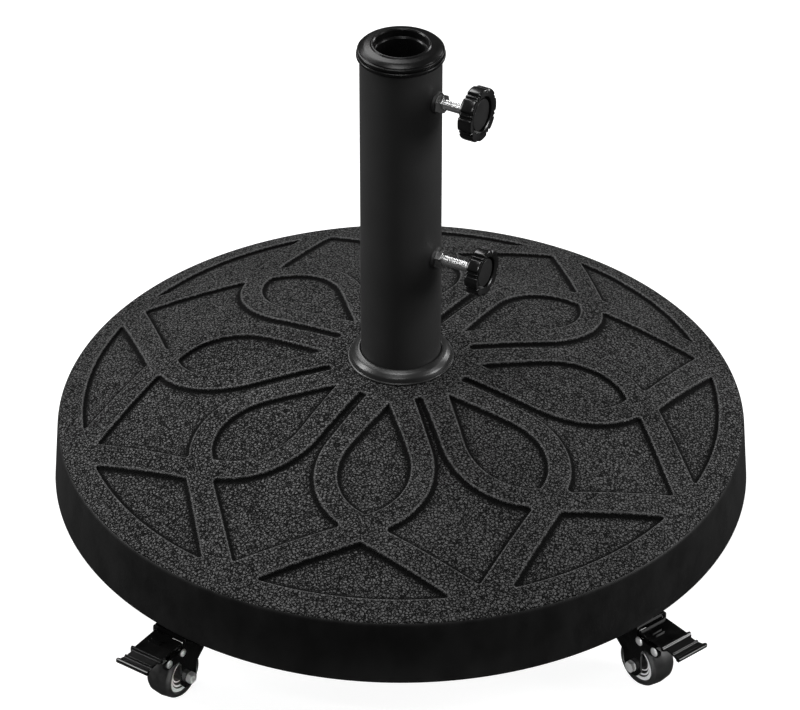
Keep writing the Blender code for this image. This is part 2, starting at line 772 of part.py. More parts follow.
def axle_set(name, frame):
    """The axle bolt with its hexagon head, and the nut at its other end."""
    axle = frame @ upright(TRAIL, WHEEL_RADIUS)
    hexagon = AXLE_HEXAGON / sqrt(3)
    face = LEG_OUTER + GAP
    bolt = cylinder(name + "_axle_bolt", AXLE_RADIUS, -face - AXLE_THREAD_END, face + 0.001,
                    ZINC, axle, sides=12)
    head = cylinder(name + "_bolt_head", hexagon, face, face + AXLE_HEAD, None, axle, sides=6,
                    collection=CUTTERS)
    join(bolt, head)
    nut = cylinder(name + "_axle_nut", hexagon, -face - AXLE_NUT, -face, ZINC, axle, sides=6)
    bore = cylinder(name + "_axle_nut_bore", AXLE_RADIUS + GAP, -face - 0.006, -face + 0.002, None,
                    axle, sides=12, collection=CUTTERS)
    cut(nut, bore)
    return bolt, nut


def rivet(name, frame, x):
    """A pin across both side plates, with a domed head at one end and a pan head at the other."""
    face = LEG_OUTER + GAP
    profile = [
        (0.0, face + 0.0014),
        (DOME_HEAD_RADIUS - 0.0012, face + 0.0010),
        (DOME_HEAD_RADIUS, face),
        (PIN_RADIUS, face),
        (PIN_RADIUS, -face),
        (PAN_HEAD_RADIUS, -face),
        (PIN_RADIUS, -face - 0.0012),
        (0.0, -face - 0.0014),
    ]
    return turned(name, profile, ZINC, frame @ upright(x, PIN_HEIGHT), steps=10, closed=False)


def pedal_plan():
    """The pedal from above: a rounded ear on each side, a waist and a toe that flares out."""
    ear = (EAR_PLACE, PEDAL_HALF_WIDTH - EAR_RADIUS)
    side = [(PEDAL_START - 0.001, PEDAL_HALF_WIDTH - 0.0015)]
    side += arc(ear, EAR_RADIUS, 150, 10, 5)
    side += [
        (EAR_PLACE + 0.0052, PEDAL_WAIST),
        (EAR_PLACE + 0.0095, PEDAL_WAIST + 0.0002),
        (EAR_PLACE + 0.0130, PEDAL_WAIST + 0.0012),
    ]
    side += arc((PEDAL_TIP - 0.0018, PEDAL_HALF_WIDTH - 0.0016), 0.0016, 110, 0, 3)
    side += [(PEDAL_TIP + 0.001, PEDAL_HALF_WIDTH - 0.0018)]
    return side + [(x, -y) for x, y in reversed(side)]


def brake_pedal(name, frame):
    """A wide foot plate with raised bars and a rolled toe, on two lugs about the pivot pin."""
    under = PEDAL_FACE - PEDAL_THICKNESS
    outline = [
        (PEDAL_START, under),
        (PEDAL_TIP - 0.0020, under),
        (PEDAL_TIP, under + 0.0008),
        (PEDAL_TIP, PEDAL_FACE + 0.0006),
        (PEDAL_TIP - 0.0018, PEDAL_FACE + 0.0014),
        (PEDAL_TIP - 0.0040, PEDAL_FACE + 0.0004),
    ]
    for distance in BAR_DISTANCES:
        outline += [
            (PEDAL_TIP - distance + 0.0010, PEDAL_FACE),
            (PEDAL_TIP - distance + 0.0003, PEDAL_FACE + 0.0008),
            (PEDAL_TIP - distance - 0.0006, PEDAL_FACE + 0.0008),
            (PEDAL_TIP - distance - 0.0012, PEDAL_FACE),
        ]
    outline += [(PEDAL_START, PEDAL_FACE)]
    pedal = plate(name + "_brake_pedal", outline, 2 * PEDAL_HALF_WIDTH, FORK_ENAMEL,
                  frame @ upright())
    edge = plate(name + "_pedal_edge", pedal_plan(), 0.012, None,
                 frame @ Matrix.Translation((0, 0, PEDAL_FACE)), CUTTERS)
    boolean(pedal, "INTERSECT", edge)
    lug_outline = arc((PIVOT_PIN, PIN_HEIGHT), LUG_RADIUS, 200, 340, 5)
    lug_outline += [(PIVOT_PIN + 0.0075, under + 0.001), (PEDAL_START + 0.0004, under + 0.001)]
    for label, side in (("left", LUG_PLACE), ("right", -LUG_PLACE)):
        lug = plate(name + "_" + label + "_lug", lug_outline, LUG_THICKNESS, None,
                    frame @ shifted(side) @ upright(), CUTTERS)
        join(pedal, lug)
    shoe_outline = [
        (PIVOT_PIN + 0.0046, under + 0.001),
        (PIVOT_PIN + 0.0046, PIN_HEIGHT - 0.0035),
        (PIVOT_PIN + 0.0090, PIN_HEIGHT - 0.0085),
        (PIVOT_PIN + 0.0118, PIN_HEIGHT - 0.0051),
        (PIVOT_PIN + 0.0100, under + 0.001),
    ]
    shoe = plate(name + "_shoe", shoe_outline, SHOE_WIDTH, None, frame @ upright(), CUTTERS)
    join(pedal, shoe)
    hole = cylinder(name + "_pedal_hole", PIN_RADIUS + GAP, -LEG_OUTER, LEG_OUTER, None,
                    frame @ upright(PIVOT_PIN, PIN_HEIGHT), sides=8, collection=CUTTERS)
    cut(pedal, hole)
    return pedal


def caster(name, position, heading):
    """One braked swivel caster: it swivels on its stem, its wheel turns and its pedal tips."""
    spot = turn_z(position) @ Vector((CASTER_CIRCLE, 0, 0))
    frame = Matrix.Translation(spot) @ turn_z(heading)
    swivel = empty(name + "_swivel", frame)
    wheel = empty(name + "_wheel", frame @ Matrix.Translation((TRAIL, 0, WHEEL_RADIUS)))
    brake = empty(name + "_brake", frame @ Matrix.Translation((PIVOT_PIN, 0, PIN_HEIGHT)))
    ride(wheel, swivel)
    ride(brake, swivel)
    caster_stem(name, frame)
    ride(caster_fork(name, frame), swivel)
    for item in caster_wheel(name, frame):
        ride(item, wheel)
    for item in axle_set(name, frame):
        ride(item, swivel)
    ride(rivet(name + "_pivot_pin", frame, PIVOT_PIN), swivel)
    ride(rivet(name + "_stop_pin", frame, STOP_PIN), swivel)
    ride(brake_pedal(name, frame), brake)


# ---- assembly -----------------------------------------------------------------------
def build():
    weight_disc()
    pole_tube()
    foot_ring()
    end_plug()
    centre_bolt()
    top_cap()
    reducer_sleeve()
    for label, sizes in CLAMPS.items():
        clamp(label, *sizes)
    for name, (position, heading) in CASTERS.items():
        caster(name, position, heading)
    for item in PARTS.objects:
        if item.type == "MESH":
            shade(item)


build()
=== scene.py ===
"""The looks of the parasol base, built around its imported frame.

Units are metres, +Z is up, the pole's axis is the Z axis and the front is towards -Y.
"""

import json
from math import acos
from math import atan2
from math import cos
from math import hypot
from math import pi
from math import radians
from math import sin
from math import sqrt
from math import tan

import bmesh
import bpy
import numpy as np
from mathutils import Matrix
from mathutils import Vector
from mathutils.geometry import delaunay_2d_cdt


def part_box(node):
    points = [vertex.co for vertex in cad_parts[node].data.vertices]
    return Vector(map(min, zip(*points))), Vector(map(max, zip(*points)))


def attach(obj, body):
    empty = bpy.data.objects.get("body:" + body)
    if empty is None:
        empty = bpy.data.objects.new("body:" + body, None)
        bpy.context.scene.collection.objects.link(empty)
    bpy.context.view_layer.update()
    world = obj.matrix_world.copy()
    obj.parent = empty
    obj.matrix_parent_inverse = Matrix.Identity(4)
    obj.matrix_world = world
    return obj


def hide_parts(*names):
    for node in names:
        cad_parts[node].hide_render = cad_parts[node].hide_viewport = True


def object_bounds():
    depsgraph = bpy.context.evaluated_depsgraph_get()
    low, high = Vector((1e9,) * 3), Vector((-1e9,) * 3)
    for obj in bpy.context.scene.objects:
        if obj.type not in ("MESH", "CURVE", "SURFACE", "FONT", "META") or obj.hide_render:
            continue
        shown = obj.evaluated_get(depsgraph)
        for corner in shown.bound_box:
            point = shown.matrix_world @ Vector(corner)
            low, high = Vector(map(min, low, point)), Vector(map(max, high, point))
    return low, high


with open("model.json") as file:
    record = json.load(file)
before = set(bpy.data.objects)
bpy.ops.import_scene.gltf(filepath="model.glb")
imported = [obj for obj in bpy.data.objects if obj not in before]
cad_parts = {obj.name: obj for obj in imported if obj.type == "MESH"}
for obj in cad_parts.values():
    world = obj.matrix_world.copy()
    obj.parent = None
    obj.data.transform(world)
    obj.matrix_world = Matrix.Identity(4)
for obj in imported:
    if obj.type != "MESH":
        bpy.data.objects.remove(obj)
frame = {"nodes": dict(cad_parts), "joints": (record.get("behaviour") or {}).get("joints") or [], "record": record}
CAD_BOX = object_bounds()

# ---- what the frame says ------------------------------------------------------------
RECORD = frame["record"]
JOINTS = {joint["name"]: joint for joint in frame["joints"]}
BODY_OF = {}
for body_name, members in RECORD["behaviour"]["bodies"].items():
    for member in members:
        BODY_OF[member] = body_name


def foot_of(node):
    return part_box(node)[0].z


def top_of(node):
    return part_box(node)[1].z


def radius_of(node):
    """Radius of a node that is turned about the pole's axis."""
    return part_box(node)[1].x


def places_in(node, matrix):
    """A node's points in a frame of its own."""
    back = matrix.inverted()
    return [back @ vert.co for vert in frame["nodes"][node].data.vertices]


CASTERS = ("front_left", "front_right", "back_right", "back_left")
DISC_RADIUS = CAD_BOX[1].x
RIM_RADIUS = 0.983 * DISC_RADIUS
CASTER_PAD_FACE = foot_of("weight_disc")
PAD_DROP = 0.0056
RECESS_DEPTH = 0.003
SIDE_HEIGHT = 0.052
DISC_UNDERSIDE = CASTER_PAD_FACE + PAD_DROP
BOLT_SEAT = DISC_UNDERSIDE + RECESS_DEPTH
RECESS_RADIUS = 0.017
SEAT_RADIUS = 0.042
SEAT_HEIGHT = foot_of("foot_ring") - 0.0003
RIM_HEIGHT = DISC_UNDERSIDE + SIDE_HEIGHT
DOME_RISE = (SEAT_HEIGHT - RIM_HEIGHT) / (1 - (SEAT_RADIUS / RIM_RADIUS) ** 2)
TUBE_RADIUS = 0.030
TOP_FACE = top_of("top_cap") - 0.0008
LEDGE = 0.0048
GAP = 0.0003


def dome_height(radius):
    """Height of the rib tops at a distance from the pole's axis."""
    return RIM_HEIGHT + DOME_RISE * (1 - (radius / RIM_RADIUS) ** 2)


# ---- shader helpers -----------------------------------------------------------------
class Finish:
    """A Principled material under construction, with object coordinates in metres."""

    def __init__(self, name, roughness, metallic=0.0, specular=0.5):
        self.material = bpy.data.materials.new(name)
        self.material.use_nodes = True
        self.tree = self.material.node_tree
        self.shader = self.tree.nodes["Principled BSDF"]
        self.shader.inputs["Roughness"].default_value = roughness
        self.shader.inputs["Metallic"].default_value = metallic
        self.shader.inputs["Specular IOR Level"].default_value = specular
        self.place = self.tree.nodes.new("ShaderNodeTexCoord").outputs["Object"]

    def node(self, kind, **settings):
        item = self.tree.nodes.new(kind)
        for key, value in settings.items():
            setattr(item, key, value)
        return item

    def link(self, source, target):
        self.tree.links.new(source, target)

    def stretched(self, scale):
        """The object coordinates stretched by a factor along each axis."""
        mapping = self.node("ShaderNodeMapping")
        mapping.inputs["Scale"].default_value = scale
        self.link(self.place, mapping.inputs["Vector"])
        return mapping.outputs["Vector"]

    def noise(self, size, detail=3.0, roughness=0.5, where=None, output="Fac"):
        """Soft noise whose patches are about `size` metres across."""
        item = self.node("ShaderNodeTexNoise")
        item.inputs["Scale"].default_value = 1 / size
        item.inputs["Detail"].default_value = detail
        item.inputs["Roughness"].default_value = roughness
        self.link(where or self.place, item.inputs["Vector"])
        return item.outputs[output]

    def cells(self, size, where):
        """Distance from the edge of pebbles that are about `size` metres across."""
        item = self.node("ShaderNodeTexVoronoi", feature="DISTANCE_TO_EDGE")
        item.inputs["Scale"].default_value = 1 / size
        self.link(where, item.inputs["Vector"])
        return item.outputs["Distance"]

    def painted(self, name):
        """A number that the mesh carries at each vertex."""
        return self.node("ShaderNodeAttribute", attribute_name=name).outputs["Fac"]

    def spread(self, value, low, high, to_low, to_high, kind="LINEAR"):
        item = self.node("ShaderNodeMapRange", interpolation_type=kind)
        item.inputs["From Min"].default_value = low
        item.inputs["From Max"].default_value = high
        item.inputs["To Min"].default_value = to_low
        item.inputs["To Max"].default_value = to_high
        self.link(value, item.inputs["Value"])
        return item.outputs["Result"]

    def sum(self, first, second, operation="ADD"):
        item = self.node("ShaderNodeMath", operation=operation)
        self.link(first, item.inputs[0])
        self.link(second, item.inputs[1])
        return item.outputs[0]

    def colours(self, value, dark, light, low, high):
        """Colour the surface from dark to light as a value goes from low to high."""
        ramp = self.node("ShaderNodeValToRGB")
        ramp.color_ramp.elements[0].position = low
        ramp.color_ramp.elements[0].color = (*dark, 1.0)
        ramp.color_ramp.elements[1].position = high
        ramp.color_ramp.elements[1].color = (*light, 1.0)
        self.link(value, ramp.inputs["Fac"])
        self.link(ramp.outputs["Color"], self.shader.inputs["Base Color"])

    def roughness(self, value, low, high, to_low, to_high):
        """Spread a value over a range of roughness."""
        rough = self.spread(value, low, high, to_low, to_high)
        self.link(rough, self.shader.inputs["Roughness"])

    def bump(self, *layers):
        """Stack bump layers of (height socket, distance in metres, strength)."""
        normal = None
        for height, distance, strength in layers:
            item = self.node("ShaderNodeBump")
            item.inputs["Distance"].default_value = distance
            item.inputs["Strength"].default_value = strength
            self.link(height, item.inputs["Height"])
            if normal:
                self.link(normal, item.inputs["Normal"])
            normal = item.outputs["Normal"]
        self.link(normal, self.shader.inputs["Normal"])


def grey(value):
    return (value, value, value)


# ---- finishes -----------------------------------------------------------------------
def pebbled_resin():
    """The moulded leather grain on the top, with painted shade in the panels' walls and a painted highlight along
    the ribs' shoulders.
    """
    finish = Finish("pebbled_resin", 0.5, specular=0.14)
    wander = finish.noise(0.0019, 2.0, output="Color")
    shift = finish.node("ShaderNodeVectorMath", operation="MULTIPLY_ADD")
    shift.inputs[1].default_value = (0.0024, 0.0024, 0.0024)
    finish.link(wander, shift.inputs[0])
    finish.link(finish.place, shift.inputs[2])
    crack = finish.cells(0.0025, shift.outputs["Vector"])
    pebble = finish.spread(crack, 0.01, 0.20, 0.0, 1.0, "SMOOTHSTEP")
    fine = finish.noise(0.0013, 2.0, 0.6)
    patch = finish.noise(0.055, 3.0)
    # painted shade: darkens the panels' walls and the floor next to them
    wall = finish.painted("wall")
    # painted highlight: lightens the ribs' shoulders along the panels' edges
    painted_highlight = finish.painted("painted_highlight")
    tone = finish.sum(pebble, finish.spread(fine, 0.34, 0.66, 0.12, 1.30), "MULTIPLY")
    tone = finish.sum(tone, finish.spread(patch, 0.3, 0.7, -0.08, 0.08))
    # adds the painted highlight on the shoulders to the tone
    tone = finish.sum(tone, finish.spread(painted_highlight, 0.0, 1.0, 0.0, 0.7))
    # multiplies the tone by the painted shade near the walls
    tone = finish.sum(tone, finish.spread(wall, 0.0, 1.0, 1.0, 0.0), "MULTIPLY")
    # the tone, with its painted shade and painted highlight, sets the base colour and the roughness
    finish.colours(tone, grey(0.0003), grey(0.082), 0.14, 1.1)
    finish.roughness(tone, 0.0, 1.0, 0.95, 0.42)
    finish.bump((pebble, 0.0008, 0.9), (fine, 0.00025, 0.6))
    return finish.material


def side_resin():
    """The smoother resin of the side wall and the underside."""
    finish = Finish("side_resin", 0.5, specular=0.28)
    mottle = finish.noise(0.018, 4.0, 0.6, finish.stretched((1.0, 1.0, 0.6)))
    fine = finish.noise(0.0016, 3.0, 0.6)
    finish.colours(mottle, grey(0.004), grey(0.009), 0.35, 0.7)
    finish.roughness(mottle, 0.3, 0.7, 0.46, 0.60)
    finish.bump((mottle, 0.0010, 0.25), (fine, 0.0001, 0.35))
    return finish.material


def powder_coat():
    """Matt powder coat with its fine orange peel."""
    finish = Finish("powder_coat", 0.45, specular=0.5)
    speckle = finish.noise(0.0007, 2.0, 0.7)
    peel = finish.noise(0.0026, 2.0)
    patch = finish.noise(0.06, 3.0)
    finish.colours(patch, grey(0.016), grey(0.025), 0.3, 0.7)
    finish.roughness(speckle, 0.3, 0.7, 0.40, 0.52)
    finish.bump((peel, 0.0003, 0.22), (speckle, 0.00012, 0.45))
    return finish.material


def gloss(name, shade, roughness, peel_size=0.004, specular=0.5):
    """A gloss black with a faint ripple and light handling haze."""
    finish = Finish(name, roughness, specular=specular)
    haze = finish.noise(0.012, 4.0, 0.6)
    ripple = finish.noise(peel_size, 1.5)
    finish.colours(haze, grey(shade * 0.8), grey(shade * 1.3), 0.3, 0.7)
    finish.roughness(haze, 0.3, 0.75, roughness * 0.97, roughness * 1.05)
    finish.bump((ripple, 0.0001, 0.08))
    return finish.material


def zinc(name, metallic, dull, bright, shade=1.0):
    """Bright zinc with faint blotches and fine turning marks."""
    finish = Finish(name, dull, metallic=metallic)
    blotch = finish.noise(0.004, 4.0, 0.6)
    marks = finish.noise(0.0006, 2.0)
    finish.colours(blotch, grey(0.74 * shade), grey(0.95 * shade), 0.3, 0.7)
    finish.roughness(blotch, 0.3, 0.7, dull, bright)
    finish.bump((marks, 0.00004, 0.3))
    return finish.material


def fork_enamel():
    """Glossy black enamel over pressed steel."""
    finish = Finish("fork_enamel", 0.22, specular=0.5)
    peel = finish.noise(0.0018, 2.0)
    patch = finish.noise(0.010, 3.0)
    finish.colours(patch, grey(0.003), grey(0.006), 0.3, 0.7)
    finish.roughness(patch, 0.3, 0.7, 0.11, 0.19)
    finish.bump((peel, 0.0001, 0.15))
    return finish.material


def tyre_rubber():
    """Dark grey tread with rolling dust."""
    finish = Finish("tyre_rubber", 0.55, specular=0.5)
    dust = finish.noise(0.006, 4.0, 0.65)
    skin = finish.noise(0.0007, 2.0)
    finish.colours(dust, grey(0.010), grey(0.022), 0.3, 0.75)
    finish.roughness(dust, 0.3, 0.7, 0.40, 0.58)
    finish.bump((skin, 0.0001, 0.5), (dust, 0.0003, 0.15))
    return finish.material


def hub_plastic():
    """Satin silver grey of the wheel's centre."""
    finish = Finish("hub_silver", 0.35, metallic=0.25)
    grain = finish.noise(0.0015, 3.0)
    finish.colours(grain, (0.80, 0.80, 0.81), (0.92, 0.92, 0.93), 0.3, 0.7)
    finish.roughness(grain, 0.3, 0.7, 0.30, 0.42)
    finish.bump((grain, 0.0001, 0.2))
    return finish.material


RESIN_TOP = pebbled_resin()
RESIN_SIDE = side_resin()
POWDER = powder_coat()
CAP_GLOSS = gloss("cap_gloss", 0.005, 0.26, specular=0.18)
RING_GLOSS = gloss("ring_gloss", 0.012, 0.33, specular=0.50)
KNOB_SATIN = gloss("knob_satin", 0.005, 0.21, 0.002)
KNOB_FACE = gloss("knob_face", 0.014, 0.36, 0.002)
ZINC = zinc("zinc_plate", 0.60, 0.40, 0.28)
BOLT_ZINC = zinc("bolt_zinc", 0.92, 0.34, 0.20)
NUT_ZINC = zinc("nut_zinc", 1.0, 0.22, 0.12, shade=0.5)
FORK = fork_enamel()
TYRE = tyre_rubber()
HUB = hub_plastic()
HUB_DARK = gloss("hub_dark", 0.012, 0.45, 0.003)


# ---- mesh helpers -------------------------------------------------------------------
def softened(points, closed=False, steps=4):
    """Round the corners of an outline of (x, y) or (x, y, corner radius) points."""
    result = []
    count = len(points)
    for index, point in enumerate(points):
        corner = Vector(point[:2])
        at_end = not closed and index in (0, count - 1)
        if len(point) < 3 or at_end:
            result.append(tuple(corner))
            continue
        back = Vector(points[index - 1][:2]) - corner
        ahead = Vector(points[(index + 1) % count][:2]) - corner
        half = back.angle(ahead) / 2
        reach = min(point[2] / tan(half), back.length * 0.49, ahead.length * 0.49)
        radius = reach * tan(half)
        middle = (back.normalized() + ahead.normalized()).normalized() * (radius / sin(half))
        first = back.normalized() * reach - middle
        last = ahead.normalized() * reach - middle
        for step in range(steps + 1):
            turn = first.lerp(last, step / steps).normalized() * radius
            result.append(tuple(corner + middle + turn))
    return result


def arc(centre, radius, start, end, count):
    """Points along a round stretch, angles in degrees."""
    return [
        (centre[0] + radius * cos(radians(start + (end - start) * step / count)),
         centre[1] + radius * sin(radians(start + (end - start) * step / count)))
        for step in range(count + 1)]


def rotated(points, angle):
    """Points turned by an angle in degrees."""
    turn_cos = cos(radians(angle))
    turn_sin = sin(radians(angle))
    return [(x * turn_cos - y * turn_sin, x * turn_sin + y * turn_cos) for x, y in points]


def polar(radius, angle, *more):
    """A point at an angle in degrees about the origin."""
    return (radius * cos(radians(angle)), radius * sin(radians(angle)), *more)


def far_side(points):
    """The same points on the other side of the X axis, in reverse order."""
    return [(x, -y, *more) for x, y, *more in reversed(points)]


def turn_z(angle):
    return Matrix.Rotation(angle, 4, "Z")


def moved(x=0.0, y=0.0, z=0.0):
    return Matrix.Translation((x, y, z))


def upright(x=0.0, z=0.0):
    """Lays an outline's XY plane into the XZ plane, so that its thickness runs along Y."""
    return moved(x, 0, z) @ Matrix.Rotation(pi / 2, 4, "X")


def lathe(profile, steps=96, closed=False, shape=None, matrix=None, start=0.0):
    """Turn (radius, height) points about Z, with single points where they meet the axis."""
    shape = shape or bmesh.new()
    rings = []
    for radius, height in profile:
        if radius < 1e-7:
            ring = [shape.verts.new((0.0, 0.0, height))] * steps
        else:
            ring = [
                shape.verts.new((radius * cos(start + 2 * pi * step / steps),
                                 radius * sin(start + 2 * pi * step / steps), height))
                for step in range(steps)]
        rings.append(ring)
    pairs = list(zip(rings, rings[1:]))
    if closed:
        pairs.append((rings[-1], rings[0]))
    for upper, lower in pairs:
        for step in range(steps):
            ahead = (step + 1) % steps
            loop = (upper[step], lower[step], lower[ahead], upper[ahead])
            corners = [vert for place, vert in enumerate(loop) if vert not in loop[:place]]
            if len(corners) > 2:
                shape.faces.new(corners)
    if matrix:
        verts = {vert for ring in rings for vert in ring}
        bmesh.ops.transform(shape, matrix=matrix, verts=list(verts))
    return shape


def turned(points, steps, closed=False, corner_steps=4, matrix=None):
    """An outline with rounded corners turned about Z."""
    return lathe(softened(points, closed, corner_steps), steps, closed, matrix=matrix)


def bridge(shape, rings):
    """Close the wall between rings of as many points each."""
    for lower, upper in zip(rings, rings[1:]):
        for step in range(len(lower)):
            ahead = (step + 1) % len(lower)
            shape.faces.new((lower[step], lower[ahead], upper[ahead], upper[step]))
    shape.faces.new(list(reversed(rings[0])))
    shape.faces.new(rings[-1])


def threaded(radius, low, high, pitch, tip=0.0006, steps=24):
    """A rod along Z with a helical thread between two heights."""
    depth = 0.34 * pitch
    rows = int((high - low) / (pitch / 6))
    shape = bmesh.new()
    rings = []
    for row in range(rows + 1):
        height = low + (high - low) * row / rows
        fade = min(1.0, (height - low) / tip, (high - height) / tip)
        ring = []
        for step in range(steps):
            turn = step / steps
            wave = 0.5 + 0.5 * cos(2 * pi * (height / pitch - turn))
            here = radius - depth * (1 - wave * fade)
            ring.append(shape.verts.new(
                (here * cos(2 * pi * turn), here * sin(2 * pi * turn), height)))
        rings.append(ring)
    bridge(shape, rings)
    return shape


def prism(outline, low, high, matrix=None):
    """A flat outline given a thickness along its own Z axis."""
    shape = bmesh.new()
    below = [shape.verts.new((x, y, low)) for x, y in outline]
    above = [shape.verts.new((x, y, high)) for x, y in outline]
    shape.faces.new(list(reversed(below)))
    shape.faces.new(above)
    count = len(outline)
    for index in range(count):
        ahead = (index + 1) % count
        shape.faces.new((below[index], below[ahead], above[ahead], above[index]))
    if matrix:
        bmesh.ops.transform(shape, matrix=matrix, verts=below + above)
    return shape


def merged(*shapes):
    """Several closed shapes in one mesh."""
    result = bmesh.new()
    for shape in shapes:
        mesh = bpy.data.meshes.new("part")
        shape.to_mesh(mesh)
        shape.free()
        result.from_mesh(mesh)
        bpy.data.meshes.remove(mesh)
    return result


def solid(name, shape, matrix=None):
    """An unlinked helper object that holds a shape."""
    mesh = bpy.data.meshes.new(name)
    bmesh.ops.recalc_face_normals(shape, faces=shape.faces)
    shape.to_mesh(mesh)
    shape.free()
    if matrix:
        mesh.transform(matrix)
    item = bpy.data.objects.new(name, mesh)
    bpy.context.scene.collection.objects.link(item)
    return item


def combined(base, *steps):
    """Apply exact booleans of (operation, shape) to a shape and give the result back."""
    item = solid("base", base)
    helpers = []
    for operation, shape in steps:
        tool = solid("tool", shape)
        helpers.append(tool)
        modifier = item.modifiers.new(operation, "BOOLEAN")
        modifier.operation = operation
        modifier.solver = "EXACT"
        modifier.object = tool
    bpy.context.view_layer.update()
    mesh = bpy.data.meshes.new_from_object(
        item.evaluated_get(bpy.context.evaluated_depsgraph_get()))
    result = bmesh.new()
    result.from_mesh(mesh)
    bmesh.ops.remove_doubles(result, verts=result.verts, dist=1e-6)
    for helper in helpers + [item]:
        bpy.data.objects.remove(helper, do_unlink=True)
    return result


def trim(name, shape, material, node, matrix=None, angle=35, extra=()):
    """A shown piece that rides with the body of a CAD node."""
    item = solid(name, shape, matrix)
    for finish in (material, *extra):
        item.data.materials.append(finish)
    item.data.shade_smooth()
    item.data.set_sharp_from_angle(angle=radians(angle))
    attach(item, BODY_OF[node])
    return item


def piece(name, shape, material, node, matrix=None, bevel=0.0, angle=35, extra=()):
    """A shown piece that stands for a CAD node."""
    item = trim(name, shape, material, node, matrix, angle, extra)
    if bevel:
        rounding = item.modifiers.new("edge", "BEVEL")
        rounding.width = bevel
        rounding.segments = 2
        rounding.limit_method = "ANGLE"
        rounding.angle_limit = radians(40)
        rounding.harden_normals = True
    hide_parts(node)


# ---- weight disc --------------------------------------------------------------------
PETALS = 8
PETAL_HEADING = -98.6
HALF_PETAL = 180 / PETALS
RIB_WIDTH = 0.0654 * RIM_RADIUS
PETAL_START = 0.228 * RIM_RADIUS
PETAL_WIDEST = 0.505 * RIM_RADIUS
PETAL_HALF_WIDTH = 0.103 * RIM_RADIUS
FLANK_RADIUS = 0.220 * RIM_RADIUS
TIP_RADIUS = 0.168 * RIM_RADIUS
SLOT_START = 0.205 * RIM_RADIUS
STAR_APEX = 0.752 * RIM_RADIUS
STAR_CORNER = 0.927 * RIM_RADIUS
STAR_HALF_ANGLE = 17.2
FIELD_CORNER = 0.901 * RIM_RADIUS
FIELD_JUNCTION = 0.0575 * RIM_RADIUS
CORNER_RADIUS = 0.0026
PANEL_DEPTH = 0.003
SHOULDER = 0.0007
SLOPE = 0.0015
INNER_EDGE = 0.044
OUTER_EDGE = 0.960 * RIM_RADIUS
RIM_STEPS = 32
PAD_RADIUS = 0.0185
EDGE_DISTANCES = (-0.0017, -0.0011, -0.0006, -0.0002,
                  0.0002, 0.0006, 0.0011, 0.0017, 0.0028, 0.0045)
EDGE_SPACING = 0.0017
ROW_TOLERANCE = 0.00004
BORDER_SPACING = 0.0013
FIELD_PITCH = 0.005
CLOSEST_POINTS = 0.00028
CLEAR_IN_PANEL = 0.0066
CLEAR_ON_RIB = 0.0036
CLEAR_OF_WEDGE_SIDE = 0.0006
CLEAR_OF_HUB = 0.0012
CLEAR_OF_RIM = 0.002
UNDERSIDE_LIFT = 0.0016


def flank(offset):
    """The petal's side, from its straight inner flank to its widest point."""
    centre = (PETAL_WIDEST, PETAL_HALF_WIDTH - FLANK_RADIUS)
    reach = hypot(centre[0] - PETAL_START, centre[1])
    down = atan2(-centre[1], PETAL_WIDEST - PETAL_START)
    tangent = acos(FLANK_RADIUS / reach)
    start = 180 - (down + tangent) * 180 / pi
    return arc(centre, FLANK_RADIUS + offset, start, 90, 16)


def crown_side(offset, lowest):
    """The petal's outer side, from its widest point down to a height above its axis."""
    centre = (PETAL_WIDEST, PETAL_HALF_WIDTH - TIP_RADIUS)
    radius = TIP_RADIUS + offset
    end = acos(sqrt(max(radius ** 2 - (lowest - centre[1]) ** 2, 0)) / radius) * 180 / pi
    return arc(centre, radius, 90, end, 20)


def mirrored(half):
    """Close an outline across its own X axis; its end points lie on that axis."""
    return half + far_side(half[1:-1])


def panel_outlines():
    """The sunk panels of the wedge about one petal, laid out along +X."""
    petal = mirrored([(PETAL_START, 0.0)] + flank(0.0) + crown_side(0.0, 0.0)[1:])
    star_rim = arc((0, 0), STAR_CORNER, STAR_HALF_ANGLE, 0, 10)
    star_corner = (*star_rim[0], CORNER_RADIUS)
    star = mirrored([(STAR_APEX, 0.0, CORNER_RADIUS), star_corner] + star_rim[1:])
    beside_petal = flank(RIB_WIDTH) + crown_side(RIB_WIDTH, FIELD_JUNCTION)[1:]
    side = rotated(beside_petal, -HALF_PETAL)
    slot_end = [(SLOT_START, 0.0), (SLOT_START + 0.001, side[0][1] * 0.8)]
    junction = (*side[-1], CORNER_RADIUS)
    field = mirrored(slot_end + side[:-3] + [junction, (FIELD_CORNER, 0.0, CORNER_RADIUS)])
    field = softened(field, closed=True)
    return [petal, softened(star, closed=True), rotated(field, HALF_PETAL),
            rotated(field, -HALF_PETAL)]


def inside_distance(points, outline):
    """How far each point lies inside an outline; negative outside it."""
    first = np.array(outline)
    last = np.roll(first, -1, axis=0)
    along = last - first
    offset = points[:, None, :] - first[None]
    share = np.clip((offset * along).sum(2) / (along * along).sum(1), 0, 1)
    gap = offset - share[..., None] * along
    distance = np.sqrt((gap ** 2).sum(2)).min(1)
    above = (first[:, 1] > points[:, None, 1]) != (last[:, 1] > points[:, None, 1])
    rise = np.where(along[:, 1] == 0, 1e-12, along[:, 1])
    crossing = first[:, 0] + (points[:, None, 1] - first[:, 1]) / rise * along[:, 0]
    inside = ((above & (points[:, None, 0] < crossing)).sum(1) % 2) == 1
    return np.where(inside, distance, -distance)


def panel_distance(points, outlines):
    """Distance inside the nearest panel, negative on the ribs."""
    return np.max([inside_distance(points, outline) for outline in outlines], axis=0)


